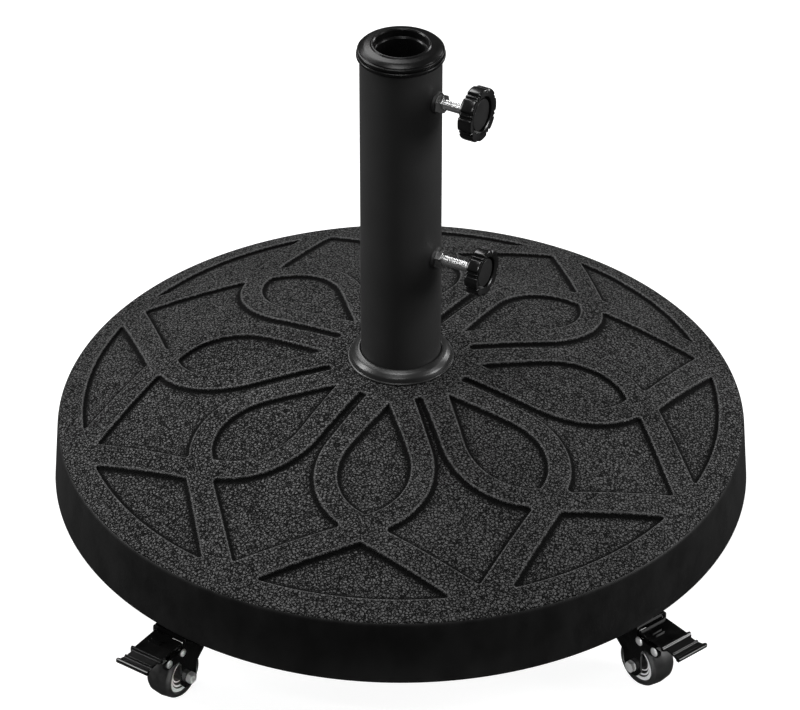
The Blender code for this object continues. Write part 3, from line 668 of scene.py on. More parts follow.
def edge_rows(outline):
    """Rows of points that run along both sides of a panel's edge, with their distance."""
    first = np.array(outline)
    last = np.roll(first, -1, axis=0)
    places = []
    for start, end in zip(first, last):
        length = np.linalg.norm(end - start)
        count = max(1, round(length / EDGE_SPACING))
        normal = np.array((-(end - start)[1], (end - start)[0])) / max(length, 1e-9)
        for step in range(count):
            middle = start + (end - start) * (step + 0.5) / count
            places.append((middle, normal))
    rows = []
    for distance in EDGE_DISTANCES:
        for middle, normal in places:
            for side in (1, -1):
                rows.append((*(middle + normal * side * abs(distance)), distance))
    return np.array(rows)


def wedge_points(outlines):
    """The points of one petal's wedge: its border, its panel edges and an even field."""
    half = radians(HALF_PETAL)
    turns = [half * (2 * step / RIM_STEPS - 1) for step in range(RIM_STEPS + 1)]
    rim = [(OUTER_EDGE, turn) for turn in turns]
    hub = [(INNER_EDGE, turn) for turn in turns]
    count = round((OUTER_EDGE - INNER_EDGE) / BORDER_SPACING)
    radii = [INNER_EDGE + (OUTER_EDGE - INNER_EDGE) * step / count for step in range(1, count)]
    border = rim + [(radius, half) for radius in reversed(radii)]
    border += list(reversed(hub)) + [(radius, -half) for radius in radii]
    border = [(radius * cos(angle), radius * sin(angle)) for radius, angle in border]
    rows = np.concatenate([edge_rows(outline) for outline in outlines])
    true_distance = panel_distance(rows[:, :2], outlines)
    rows = rows[np.abs(true_distance - rows[:, 2]) < ROW_TOLERANCE][:, :2]
    across, up = np.meshgrid(np.arange(0.03, OUTER_EDGE, FIELD_PITCH),
                             np.arange(-0.11, 0.11, FIELD_PITCH))
    across = across + (np.round(up / FIELD_PITCH) % 2) * FIELD_PITCH / 2
    field = np.stack((across.ravel(), up.ravel()), axis=1)
    distance = panel_distance(field, outlines)
    field = field[(distance > CLEAR_IN_PANEL) | (distance < -CLEAR_ON_RIB)]
    inner = np.concatenate((rows, field))
    radius = np.hypot(inner[:, 0], inner[:, 1])
    angle = np.abs(np.arctan2(inner[:, 1], inner[:, 0]))
    margin = (half - angle) * radius
    inside = (radius > INNER_EDGE + CLEAR_OF_HUB) & (radius < OUTER_EDGE - CLEAR_OF_RIM)
    inner = inner[inside & (margin > CLEAR_OF_WEDGE_SIDE)]
    cell = np.round(inner / CLOSEST_POINTS).astype(int)
    _cells, chosen = np.unique(cell, axis=0, return_index=True)
    return border, inner[np.sort(chosen)]


def disc_top(shape):
    """The domed top with its sunk panels, as one wedge turned eight times."""
    outlines = panel_outlines()
    border, inner = wedge_points(outlines)
    flat = [Vector(point) for point in border] + [Vector(point) for point in inner]
    edges = [(index, (index + 1) % len(border)) for index in range(len(border))]
    verts, _edges, faces, *_rest = delaunay_2d_cdt(flat, edges, [], 1, 1e-7)
    places = np.array([tuple(vert) for vert in verts])
    distance = panel_distance(places, outlines)
    share = np.clip((distance + SHOULDER) / (SHOULDER + SLOPE), 0, 1)
    depth = PANEL_DEPTH * share * share * (3 - 2 * share)
    # painted shade: dark in the panels' walls, fading out across the floor next to them
    shade = np.interp(distance, (-0.0002, 0.0005, 0.0019, 0.0050), (0.0, 1.0, 1.0, 0.0))
    # painted highlight: a thin band along the ribs' shoulders, carried on each vertex
    painted_shine = np.interp(distance, (-0.0014, -0.0008, -0.0003, 0.0001), (0.0, 1.0, 1.0, 0.0))
    # the painted shade and the painted highlight ride on each vertex as attributes
    wall = shape.verts.layers.float.new("wall")
    painted_highlight = shape.verts.layers.float.new("painted_highlight")
    for index in range(PETALS):
        angle = radians(PETAL_HEADING + index * 2 * HALF_PETAL)
        new = []
        # dark carries the painted shade and bright the painted highlight
        for (x, y), sunk, dark, bright in zip(places, depth, shade, painted_shine):
            height = dome_height(hypot(x, y)) - sunk
            vert = shape.verts.new((x * cos(angle) - y * sin(angle),
                                    x * sin(angle) + y * cos(angle), height))
            vert[wall] = dark
            vert[painted_highlight] = bright
            new.append(vert)
        for face in faces:
            shape.faces.new([new[corner] for corner in face])


def weight_disc():
    """The domed disc, its rounded rim, side wall, flat underside and caster pads."""
    shape = bmesh.new()
    disc_top(shape)
    start = radians(PETAL_HEADING - HALF_PETAL)
    steps = PETALS * RIM_STEPS
    rim = softened([
        (OUTER_EDGE, dome_height(OUTER_EDGE)),
        (RIM_RADIUS - 0.006, dome_height(RIM_RADIUS - 0.006), 0.004),
        (RIM_RADIUS + 0.0004, RIM_HEIGHT + 0.0002, 0.0052),
        (DISC_RADIUS, DISC_UNDERSIDE + 0.0012, 0.0022),
        (DISC_RADIUS - 0.0035, DISC_UNDERSIDE, 0.0012),
        (DISC_RADIUS - 0.016, DISC_UNDERSIDE, 0.0012),
        (DISC_RADIUS - 0.0175, DISC_UNDERSIDE + UNDERSIDE_LIFT, 0.0012),
        (0.052, DISC_UNDERSIDE + UNDERSIDE_LIFT, 0.0012), (0.050, DISC_UNDERSIDE, 0.0012),
        (RECESS_RADIUS, DISC_UNDERSIDE, 0.0005), (RECESS_RADIUS, BOLT_SEAT),
        (0.0, BOLT_SEAT),
    ], steps=6)
    wall = [rim[0]]
    for before, after in zip(rim, rim[1:]):
        parts = max(1, round(abs(after[1] - before[1]) / 0.008))
        for part in range(1, parts + 1):
            wall.append((before[0] + (after[0] - before[0]) * part / parts,
                         before[1] + (after[1] - before[1]) * part / parts))
    lathe(wall, steps, shape=shape, start=start)
    seat = [
        (INNER_EDGE, dome_height(INNER_EDGE)), (SEAT_RADIUS, SEAT_HEIGHT),
        (TUBE_RADIUS + 0.004, SEAT_HEIGHT), (0.0, SEAT_HEIGHT),
    ]
    lathe(seat, steps, shape=shape, start=start)
    bmesh.ops.remove_doubles(shape, verts=shape.verts, dist=2e-6)
    bmesh.ops.recalc_face_normals(shape, faces=shape.faces)
    for face in shape.faces:
        middle = face.calc_center_median()
        away = hypot(middle.x, middle.y)
        on_side = away > RIM_RADIUS - 0.0006 or face.normal.z < 0.2
        face.material_index = 1 if on_side else 0
    for name in CASTERS:
        spot = Vector(JOINTS[name + "_swivel_turn"]["pos_m"])
        pad = turned([
            (0.0, DISC_UNDERSIDE + 0.004), (PAD_RADIUS, DISC_UNDERSIDE + 0.004),
            (PAD_RADIUS, CASTER_PAD_FACE, 0.0012), (0.0, CASTER_PAD_FACE),
        ], 64, matrix=moved(spot.x, spot.y))
        for face in pad.faces:
            face.material_index = 1
        shape = merged(shape, pad)
    piece("weight_disc_shell", shape, RESIN_TOP, "weight_disc", angle=50, extra=(RESIN_SIDE,))


# ---- pole tube, foot ring, cap ------------------------------------------------------
TUBE_WALL = 0.0018
CAP_BORE = 0.0197
SKIRT_OUTER = 0.0279
SKIRT_INNER = 0.0256
SLEEVE_BORE = 0.0180
PLUG_BORE = 0.0043
FLANGE_RADIUS = 0.0140
FLANGE_THICKNESS = 0.0030
BOLT_HEAD_ACROSS = 0.0130
BOLT_SHANK_RADIUS = 0.0040
BOLT_PITCH = 0.00125


def pole_tube():
    bore = TUBE_RADIUS - TUBE_WALL
    low = foot_of("pole_tube")
    high = top_of("pole_tube")
    middle = [(TUBE_RADIUS, high + (low - high) * step / 12) for step in range(1, 12)]
    profile = [(bore, high), (TUBE_RADIUS, high)] + middle + [(TUBE_RADIUS, low), (bore, low)]
    piece("tube_shell", lathe(profile, 128, closed=True), POWDER, "pole_tube")


def foot_ring():
    """The gloss collar: a thin lip, a fine groove and a broad rounded slope."""
    low, high = foot_of("foot_ring"), top_of("foot_ring")
    outer = radius_of("foot_ring")
    inner = TUBE_RADIUS + GAP
    collar = turned([
        (inner, high - 0.0010), (inner + 0.0006, high, 0.0006),
        (inner + 0.0018, high - 0.0002, 0.0010), (0.0348, high - 0.0014, 0.0060),
        (0.0376, high - 0.0040, 0.0040), (0.0385, low + 0.0018, 0.0006),
        (0.0387, low + 0.0010, 0.0002), (0.0390, low + 0.0014, 0.0003),
        (outer, low + 0.0013, 0.0005), (outer, low, 0.0003), (inner, low),
    ], 128, closed=True, corner_steps=6)
    piece("foot_collar", collar, RING_GLOSS, "foot_ring")


def top_cap():
    """The cap: a raised lip, a broad face that falls outwards, and beads round its edge."""
    outer = radius_of("top_cap")
    skirt_foot = foot_of("top_cap")
    top = top_of("top_cap")
    cap = turned([
        (CAP_BORE, top - 0.0010), (CAP_BORE + 0.0008, top, 0.0006),
        (CAP_BORE + 0.0016, top - 0.0002, 0.0005),
        (CAP_BORE + 0.0025, TOP_FACE - 0.0003, 0.0008), (0.0268, TOP_FACE - 0.0010, 0.0060),
        (0.0305, TOP_FACE - 0.0030, 0.0006), (0.0302, TOP_FACE - 0.0036, 0.0003),
        (0.0316, TOP_FACE - 0.0040, 0.0008), (0.0317, TOP_FACE - 0.0060, 0.0008),
        (0.0305, TOP_FACE - 0.0064, 0.0003), (0.0305, TOP_FACE - 0.0069, 0.0003),
        (outer, TOP_FACE - 0.0069, 0.0010), (outer, TOP_FACE - 0.0098, 0.0011),
        (TUBE_RADIUS + GAP, TOP_FACE - 0.0102), (TUBE_RADIUS + GAP, TOP_FACE - LEDGE + GAP),
        (SKIRT_OUTER, TOP_FACE - LEDGE + GAP), (SKIRT_OUTER, skirt_foot),
        (SKIRT_INNER, skirt_foot), (SKIRT_INNER, TOP_FACE - LEDGE),
        (CAP_BORE, TOP_FACE - LEDGE),
    ], 128, closed=True, corner_steps=5)
    piece("tube_cap", cap, CAP_GLOSS, "top_cap")


def reducer_sleeve():
    low, high = foot_of("reducer_sleeve"), top_of("reducer_sleeve")
    outer = SKIRT_INNER - GAP
    sleeve = turned([
        (SLEEVE_BORE, high - 0.0012, 0.0005), (SLEEVE_BORE + 0.0010, high, 0.0005),
        (outer, high, 0.0003), (outer, low), (SLEEVE_BORE + 0.0008, low, 0.0004),
        (SLEEVE_BORE, low + 0.0010, 0.0004),
    ], 96, closed=True, corner_steps=3)
    piece("cap_sleeve", sleeve, CAP_GLOSS, "reducer_sleeve")


def chamfered_hexagon(across_flats, low, high, both=False):
    """A hexagon with turned corners, as a nut or a bolt head has."""
    corner = across_flats / sqrt(3)
    fall = (corner - across_flats / 2) * 0.9
    reach = across_flats / 2 * 0.98
    foot = low + fall if both else low
    cone = [(0.0, high), (reach, high), (corner + 0.0004, high - fall), (corner + 0.0004, foot)]
    cone += [(reach, low)] if both else []
    cone += [(0.0, low)]
    hexagon = [polar(corner, step * 60) for step in range(6)]
    body = prism(hexagon, low - 0.0001, high + 0.0001)
    return combined(body, ("INTERSECT", lathe(cone, 48)))


def end_plug():
    low, high = foot_of("end_plug"), top_of("end_plug")
    plug = turned([
        (PLUG_BORE, high), (SKIRT_OUTER, high, 0.0008), (SKIRT_OUTER, low, 0.0008),
        (PLUG_BORE, low),
    ], 64, closed=True)
    piece("plug_disc", plug, ZINC, "end_plug")


def centre_bolt():
    """The flanged bolt under the disc."""
    low = foot_of("centre_bolt")
    face = BOLT_SEAT - GAP
    flange = turned([
        (0.0, face), (FLANGE_RADIUS, face, 0.0003), (FLANGE_RADIUS, face - 0.0014, 0.0006),
        (0.0078, face - FLANGE_THICKNESS), (0.0, face - FLANGE_THICKNESS),
    ], 64)
    head_top = face - FLANGE_THICKNESS + 0.0001
    head = chamfered_hexagon(BOLT_HEAD_ACROSS, low, head_top, both=True)
    shank = threaded(BOLT_SHANK_RADIUS, face - 0.001, top_of("centre_bolt"), BOLT_PITCH)
    piece("flanged_bolt", merged(flange, head, shank), ZINC, "centre_bolt")


# ---- clamps -------------------------------------------------------------------------
LOBES = 8
NUT_ACROSS = 0.013
SCREW_RADIUS = 0.0038
SCREW_PITCH = 0.00125
SEAT_SHARE = 0.69
LOBE_HALF_ANGLE = 13.5
CROWN_HALF_ANGLE = 9
VALLEY_DEPTH = 0.0021
RIDGE_DEPTH = 0.0008


def clamp_frame(label):
    """A clamp's own frame: its +Z axis points out from the pole."""
    joint = JOINTS[label + "_knob_turn"]
    heading = atan2(joint["axis"][1], joint["axis"][0])
    return moved(0, 0, joint["pos_m"][2]) @ turn_z(heading) @ Matrix.Rotation(pi / 2, 4, "Y")


def span_along(node, matrix):
    """A node's lowest and highest place along a frame's +Z axis, and its widest radius."""
    places = places_in(node, matrix)
    return (min(place.z for place in places), max(place.z for place in places),
            max(hypot(place.x, place.y) for place in places))


def knob_rim(radius):
    """Broad lobes parted by valleys, with a small ridge standing in each valley."""
    valley = radius - VALLEY_DEPTH
    ridge = radius - RIDGE_DEPTH
    points = []
    for lobe in range(LOBES):
        middle = lobe * 360 / LOBES
        gap_middle = middle + 180 / LOBES
        points.append(polar(radius, middle - LOBE_HALF_ANGLE, 0.0010))
        points += arc((0, 0), radius, middle - CROWN_HALF_ANGLE, middle + CROWN_HALF_ANGLE, 4)
        points += [
            polar(radius, middle + LOBE_HALF_ANGLE, 0.0010),
            polar(valley, gap_middle - 6.2, 0.0004),
            polar(valley, gap_middle - 3.4, 0.0003),
            polar(ridge, gap_middle - 1.6, 0.0004),
            polar(ridge, gap_middle + 1.6, 0.0004),
            polar(valley, gap_middle + 3.4, 0.0003),
            polar(valley, gap_middle + 6.2, 0.0004),
        ]
    return softened(points, closed=True, steps=3)


def knob_body(radius, back, front, seat_floor):
    """The lobed rim with rounded edges, a recessed seat in front and a boss behind."""
    rim = [Vector(place) for place in knob_rim(radius)]
    shape = bmesh.new()
    layers = [
        (0.45, back + 0.0030), (0.80, back + 0.0022), (0.925, back + 0.0006),
        (0.965, back + 0.0001), (0.990, back + 0.0007), (1.0, back + 0.0018),
        (1.0, front - 0.0018), (0.990, front - 0.0007), (0.965, front - 0.0001),
    ]
    rings = []
    for share, height in layers:
        ring = []
        for place in rim:
            inset = place.normalized() * (place.length - radius * (1 - share))
            ring.append(shape.verts.new((inset.x, inset.y, height)))
        rings.append(ring)
    dish = SEAT_SHARE * radius
    for share, height in ((dish + 0.0011, front - 0.0004), (dish, front - 0.0012),
                          (dish, seat_floor), (SCREW_RADIUS, seat_floor)):
        rings.append([
            shape.verts.new((place.normalized().x * share, place.normalized().y * share, height))
            for place in rim])
    bridge(shape, rings)
    boss = turned([
        (0.0, back + 0.0045), (0.0072, back + 0.0045), (0.0064, back + 0.0002, 0.0006),
        (0.0034, back), (0.0, back),
    ], 48)
    return merged(shape, boss)


def clamp(label):
    """The weld nut, the threaded bolt, the knob with its cap, and the grip pad."""
    matrix = clamp_frame(label)
    nut_low, nut_high, _corner = span_along(label + "_weld_nut", matrix)
    nut = chamfered_hexagon(NUT_ACROSS, nut_low, nut_high, both=True)
    hole = SCREW_RADIUS + GAP
    bore = lathe([(0.0, nut_high + 0.001), (hole, nut_high + 0.001), (hole, nut_low - 0.001),
                  (0.0, nut_low - 0.001)], 32)
    piece(label + "_nut", combined(nut, ("DIFFERENCE", bore)), NUT_ZINC, label + "_weld_nut",
          matrix, bevel=0.0002)
    bead = turned([
        (0.0056, nut_low + 0.0013), (0.0077, nut_low + 0.0012, 0.0006),
        (0.0088, nut_low - 0.0012, 0.0006), (0.0056, nut_low - 0.0014),
    ], 48, closed=True)
    trim(label + "_weld_bead", bead, POWDER, "pole_tube", matrix)

    pad_low, pad_high, pad_radius = span_along(label + "_clamp_pad", matrix)
    pad = turned([
        (0.0, pad_high), (pad_radius, pad_high, 0.0004), (pad_radius, pad_low, 0.0006),
        (0.0, pad_low),
    ], 40)
    piece(label + "_pad", pad, KNOB_SATIN, label + "_clamp_pad", matrix)

    back, front, rim_radius = span_along(label + "_knob", matrix)
    cap_low, cap_high, cap_radius = span_along(label + "_knob_cap", matrix)
    bolt_low = span_along(label + "_clamp_bolt", matrix)[0]
    rod = threaded(SCREW_RADIUS, bolt_low, back - 0.0042, SCREW_PITCH)
    collar = turned([
        (0.0, back + 0.001), (0.0050, back + 0.001), (0.0050, back - 0.0034, 0.0005),
        (SCREW_RADIUS, back - 0.0044), (0.0, back - 0.0044),
    ], 40)
    screw = merged(rod, collar)
    piece(label + "_bolt", screw, BOLT_ZINC, label + "_clamp_bolt", matrix, angle=60)
    knob = knob_body(rim_radius, back, front, cap_low - GAP)
    piece(label + "_hand_knob", knob, KNOB_SATIN, label + "_knob", matrix, angle=40)
    cap = turned([
        (0.0, cap_high), (cap_radius, cap_high - 0.0002, 0.0004),
        (cap_radius, cap_low, 0.0002), (0.0, cap_low),
    ], 64)
    piece(label + "_knob_disc", cap, KNOB_FACE, label + "_knob_cap", matrix)


# ---- casters ------------------------------------------------------------------------
LEG_THICKNESS = 0.0020
CROWN_THICKNESS = 0.0025
INSERT_BORE = 0.0053
INSERT_RADIUS = 0.0090
INSERT_FLANGE = 0.0140
STEM_RADIUS = 0.0050
STEM_COLLAR = 0.0085
STEM_NECK = 0.0048
AXLE_RADIUS = 0.0025
AXLE_ACROSS = 0.0080
AXLE_PITCH = 0.0008
WASHER_RADIUS = 0.0045
PIN_SPACING = 0.0164
PIN_RADIUS = 0.0018
DOME_RADIUS = 0.0036
PAN_RADIUS = 0.0030
HEAD_HEIGHT = 0.0014
EAR_RADIUS = 0.0030
LUG_RADIUS = 0.0042
LUG_HALF = 0.0009
LUG_INSET = 0.0016
PEDAL_THICKNESS = 0.0020
BAR_HALF = 0.0009
BAR_PLACES = (0.0083, 0.0116)


class Caster:
    """Places and sizes of one caster, read from its joints and nodes."""

    def __init__(self, name):
        pivot = Vector(JOINTS[name + "_swivel_turn"]["pos_m"])
        axle = Vector(JOINTS[name + "_wheel_spin"]["pos_m"])
        brake = Vector(JOINTS[name + "_brake_press"]["pos_m"])
        self.name = name
        self.trail = hypot(axle.x - pivot.x, axle.y - pivot.y)
        self.heading = atan2(axle.y - pivot.y, axle.x - pivot.x)
        self.frame = moved(pivot.x, pivot.y) @ turn_z(self.heading)
        self.axle_height = axle.z
        self.pin_height = brake.z
        self.pivot_pin = hypot(brake.x - pivot.x, brake.y - pivot.y)
        self.stop_pin = self.pivot_pin + PIN_SPACING
        self.crown_top = top_of(name + "_fork")
        pedal = places_in(name + "_brake_pedal", self.frame)
        self.pedal_tip = max(place.x for place in pedal)
        self.pedal_start = min(place.x for place in pedal if place.z > self.pin_height + 0.006)
        self.pedal_half = max(place.y for place in pedal)
        self.tyre_half = self.half_width("_tyre")
        self.hub_half = self.half_width("_hub")
        self.leg_inner = self.hub_half + 0.0004
        self.leg_outer = self.leg_inner + LEG_THICKNESS
        self.pedal_top = top_of(name + "_brake_pedal") - 0.0014
        self.crown_front = self.pedal_start - 0.0010
        self.lip_foot = self.pedal_top - 0.0015

    def half_width(self, suffix):
        """How far a node reaches along the axle from the middle of the caster."""
        return max(place.y for place in places_in(self.name + suffix, self.frame))

    def show(self, label, shape, material, node, matrix=None, **settings):
        """Show a piece of this caster, in its own frame unless another is given."""
        piece(f"{self.name}_{label}", shape, material, f"{self.name}_{node}",
              matrix or self.frame, **settings)

    def axle(self):
        return self.frame @ upright(self.trail, self.axle_height)


def caster_stem(caster):
    """The flanged insert and the swivel stem."""
    name = caster.name
    insert_low, insert_high = foot_of(name + "_insert"), top_of(name + "_insert")
    face = CASTER_PAD_FACE - GAP
    insert = turned([
        (INSERT_BORE, insert_high), (INSERT_RADIUS, insert_high, 0.0005),
        (INSERT_RADIUS, face), (INSERT_FLANGE, face, 0.0003),
        (INSERT_FLANGE, insert_low, 0.0006), (INSERT_BORE, insert_low),
    ], 64, closed=True)
    caster.show("stem_socket", insert, ZINC, "insert")
    stem_low, stem_high = foot_of(name + "_stem"), top_of(name + "_stem")
    under_crown = caster.crown_top - CROWN_THICKNESS - GAP
    stem = turned([
        (0.0, stem_high), (STEM_RADIUS, stem_high, 0.0005), (STEM_RADIUS, insert_low - GAP),
        (STEM_COLLAR, insert_low - GAP, 0.0006),
        (STEM_COLLAR, caster.crown_top + 0.0005, 0.0006),
        (STEM_NECK, caster.crown_top + 0.0005), (STEM_NECK, under_crown),
        (0.0080, under_crown, 0.0005), (0.0068, stem_low, 0.0010), (0.0, stem_low),
    ], 64)
    caster.show("swivel_stem", stem, ZINC, "stem")


def leg_outline(caster):
    """The fork's side plate, seen along the axle."""
    trail, height = caster.trail, caster.axle_height
    top = caster.crown_top
    points = arc((trail, height), 0.0085, 190, 350, 14)
    points += [
        (trail + 0.0079, height + 0.0066, 0.004), (trail + 0.0080, height + 0.0160, 0.006),
        (trail + 0.0107, height + 0.0208, 0.003),
    ]
    points += arc((caster.stop_pin, caster.pin_height), 0.0050, -95, 25, 10)
    points += [
        (trail + 0.0030, caster.pin_height + 0.0022, 0.002),
        (caster.crown_front, caster.lip_foot), (caster.crown_front, top + 0.0030),
        (-0.0175, top + 0.0030), (-0.0175, top - 0.0040, 0.002),
        (trail - 0.0189, height + 0.0147, 0.004), (trail - 0.0104, height + 0.0080, 0.004),
    ]
    return softened(points, closed=True)


def caster_fork(caster):
    """A pressed channel, bent at its crown and trimmed to the shape of its side plates."""
    top, inner, outer = caster.crown_top, caster.leg_inner, caster.leg_outer
    section = softened([
        (-outer, 0.0), (-outer, top, 0.0028), (outer, top, 0.0028), (outer, 0.0),
        (inner, 0.0), (inner, top - CROWN_THICKNESS, 0.0010),
        (-inner, top - CROWN_THICKNESS, 0.0010), (-inner, 0.0),
    ], closed=True, steps=5)
    along = Matrix(((0, 0, 1, 0), (1, 0, 0, 0), (0, 1, 0, 0), (0, 0, 0, 1)))
    channel = prism(section, -0.03, 0.06, matrix=along)
    side = prism(leg_outline(caster), -0.02, 0.02, matrix=upright())
    front = caster.crown_front
    lip = [
        (front - 0.0024, caster.lip_foot), (front - 0.0006, caster.lip_foot),
        (front - 0.0006, top - 0.0004), (front - 0.0024, top - 0.0004),
    ]
    half = inner + 0.0008
    lip = prism(lip, -half, half, matrix=upright())
    fork = combined(channel, ("UNION", lip), ("INTERSECT", side))
    caster.show("fork_body", fork, FORK, "fork", bevel=0.00035)


def caster_wheel(caster):
    """A barrel tyre with a mould line, and a hub with a bright ring on each face."""
    radius = caster.axle_height
    half = caster.tyre_half
    side = [
        (0.0152, half - 0.0008), (0.0158, half - 0.0001, 0.0004),
        (radius - 0.0030, half, 0.0010), (radius - 0.0010, half - 0.0026, 0.0030),
        (radius - 0.0002, 0.0020, 0.0120),
    ]
    tyre = turned(side + [(radius, 0.0)] + far_side(side), 96, closed=True, corner_steps=6)
    caster.show("tread", tyre, TYRE, "tyre", caster.axle())
    boss = caster.hub_half
    face = [
        (0.0028, boss), (0.0050, boss, 0.0004), (0.0056, 0.0050, 0.0006),
        (0.0070, 0.0048, 0.0004), (0.0074, 0.0060, 0.0003), (0.0082, 0.0060, 0.0003),
        (0.0086, 0.0048, 0.0004), (0.0094, 0.0048, 0.0004), (0.0098, 0.0076, 0.0004),
        (0.0110, 0.0078, 0.0003), (0.0114, 0.0070, 0.0003), (0.0117, 0.0070, 0.0003),
        (0.0121, 0.0088, 0.0004), (0.0145, 0.0088, 0.0004), (0.0149, 0.0082),
    ]
    hub = turned(face + far_side(face), 96, closed=True, corner_steps=3)
    for ring_face in hub.faces:
        middle = ring_face.calc_center_median()
        away = hypot(middle.x, middle.y)
        bead = 0.0072 < away < 0.0084 and abs(middle.z) > 0.0055
        groove = 0.0045 < away < 0.0097 or 0.0112 < away < 0.0119
        ring_face.material_index = 1 if groove and not bead else 0
    caster.show("wheel_centre", hub, HUB, "hub", caster.axle(), extra=(HUB_DARK,))


def axle_set(caster):
    """The axle bolt with its hexagon head, and the nut at its other end."""
    face = caster.leg_outer + GAP
    head = chamfered_hexagon(AXLE_ACROSS, face + 0.0006, face + 0.0036)
    washer = turned([(0.0, face + 0.0008), (WASHER_RADIUS, face + 0.0008, 0.0002),
                             (WASHER_RADIUS, face), (0.0, face)], 40)
    shank = lathe([(0.0, face + 0.001), (AXLE_RADIUS, face + 0.001), (AXLE_RADIUS, -face),
                   (0.0, -face)], 32)
    thread = threaded(AXLE_RADIUS, -face - 0.0052, -face + 0.0005, AXLE_PITCH)
    bolt = merged(head, washer, shank, thread)
    caster.show("axle", bolt, ZINC, "axle_bolt", caster.axle(), bevel=0.00015)
    nut = chamfered_hexagon(AXLE_ACROSS, -face - 0.0040, -face, both=True)
    caster.show("nut", nut, ZINC, "axle_nut", caster.axle(), bevel=0.00015)


def pin(caster, label, x):
    """A pin with a domed head on one side and a cross-slotted pan head on the other."""
    face = caster.leg_outer + GAP
    dome = [(0.0, face + HEAD_HEIGHT)]
    dome += [(DOME_RADIUS * sin(radians(turn)), face + HEAD_HEIGHT * cos(radians(turn)))
             for turn in range(15, 91, 15)]
    dome += [(PIN_RADIUS, face - 0.0001), (PIN_RADIUS, -face + 0.0001), (0.0, -face + 0.0001)]
    body = lathe(dome, 40)
    head = turned([
        (0.0, -face + 0.0001), (PAN_RADIUS, -face + 0.0001, 0.0002),
        (PAN_RADIUS, -face - 0.0008, 0.0006), (0.0014, -face - HEAD_HEIGHT, 0.0010),
        (0.0, -face - HEAD_HEIGHT),
    ], 40)
    slots = []
    for turn in (0.3, 0.3 + pi / 2):
        bar = prism([(-0.0017, -0.0003), (0.0017, -0.0003), (0.0017, 0.0003), (-0.0017, 0.0003)],
                    -face - 0.002, -face - 0.0006, matrix=turn_z(turn))
        slots.append(("DIFFERENCE", bar))
    head = combined(head, *slots)
    place = caster.frame @ upright(x, caster.pin_height)
    caster.show(label + "_screw", merged(body, head), ZINC, label + "_pin", place)


def pedal_plan(caster):
    """The pedal from above: a rounded ear on each side, a waist and a flared toe."""
    half, tip = caster.pedal_half, caster.pedal_tip
    ear_place = tip - 0.0190
    side = [(caster.pedal_start - 0.001, half - 0.0015)]
    side += arc((ear_place, half - EAR_RADIUS), EAR_RADIUS, 150, 10, 12)
    side += [
        (ear_place + 0.0052, half - 0.0025, 0.004),
        (ear_place + 0.0095, half - 0.0023, 0.006), (tip - 0.0050, half - 0.0012, 0.003),
        (tip - 0.0030, half, 0.0012), (tip - 0.0004, half, 0.0016),
        (tip + 0.001, half - 0.0030),
    ]
    side = softened(side)
    return side + far_side(side)


def pedal_deck(caster):
    """The pedal's thickness seen from the side: two raised bars, a dip and a rolled toe."""
    tip, start, top = caster.pedal_tip, caster.pedal_start, caster.pedal_top
    under = top - PEDAL_THICKNESS
    points = [
        (start, under), (tip - 0.0024, under, 0.0010),
        (tip - 0.0008, under + 0.0001, 0.0010), (tip, under + 0.0016, 0.0014),
        (tip - 0.0002, top + 0.0011, 0.0009), (tip - 0.0018, top + 0.0014, 0.0009),
        (tip - 0.0034, top + 0.0007, 0.0006), (tip - 0.0046, top - 0.0002, 0.0010),
        (tip - 0.0082, top - 0.0004, 0.0006), (tip - 0.0087, top + 0.0010, 0.0005),
        (tip - 0.0097, top + 0.0010, 0.0005), (tip - 0.0104, top - 0.0004, 0.0006),
        (tip - 0.0174, top - 0.0003, 0.0008), (tip - 0.0184, top + 0.0012, 0.0005),
        (tip - 0.0198, top + 0.0012, 0.0007), (tip - 0.0212, top, 0.0008), (start, top),
    ]
    return softened(points, closed=True)


def brake_pedal(caster):
    half = caster.pedal_half
    under = caster.pedal_top - PEDAL_THICKNESS
    deck = prism(pedal_deck(caster), -half, half, matrix=upright())
    plan = prism(pedal_plan(caster), under - 0.002, caster.pedal_top + 0.004)
    x, z = caster.pivot_pin, caster.pin_height
    lug = arc((x, z), LUG_RADIUS, 200, 340, 14)
    lug += [(x + 0.0075, under + 0.001), (caster.pedal_start + 0.0004, under + 0.001)]
    shoe = [
        (x + 0.0046, under + 0.001), (x + 0.0046, z - 0.0035), (x + 0.0090, z - 0.0085),
        (x + 0.0118, z - 0.0051), (x + 0.0100, under + 0.001),
    ]
    steps = [("INTERSECT", plan)]
    for side in (caster.leg_inner - LUG_INSET, LUG_INSET - caster.leg_inner):
        steps.append(("UNION", prism(lug, side - LUG_HALF, side + LUG_HALF, matrix=upright())))
    steps.append(("UNION", prism(shoe, -0.0070, 0.0070, matrix=upright())))
    for distance in BAR_PLACES:
        near = caster.pedal_start + distance - BAR_HALF
        far = caster.pedal_start + distance + BAR_HALF
        bar = softened([
            (near, -half * 0.62, 0.0008), (far, -half * 0.62, 0.0008),
            (far, half * 0.10, 0.0008), (near, half * 0.10, 0.0008),
        ], closed=True)
        steps.append(("UNION", prism(bar, under + 0.0008, caster.pedal_top + 0.0010)))
    caster.show("pedal", combined(deck, *steps), FORK, "brake_pedal", bevel=0.0003)


def caster_pieces(name):
    caster = Caster(name)
    caster_stem(caster)
    caster_fork(caster)
    caster_wheel(caster)
    axle_set(caster)
    pin(caster, "pivot", caster.pivot_pin)
    pin(caster, "stop", caster.stop_pin)
    brake_pedal(caster)


# ---- floor, lights and camera -------------------------------------------------------
FLOOR_GLOW = 0.93
FLOOR_REFLECTION = 0.06
WORLD_GLOW = 0.045
FOCAL_LENGTH = 184.7
SENSOR_WIDTH = 36.0
CAMERA_ELEVATION = 0.6199
CAMERA_AIM_ABOVE = 0.01351


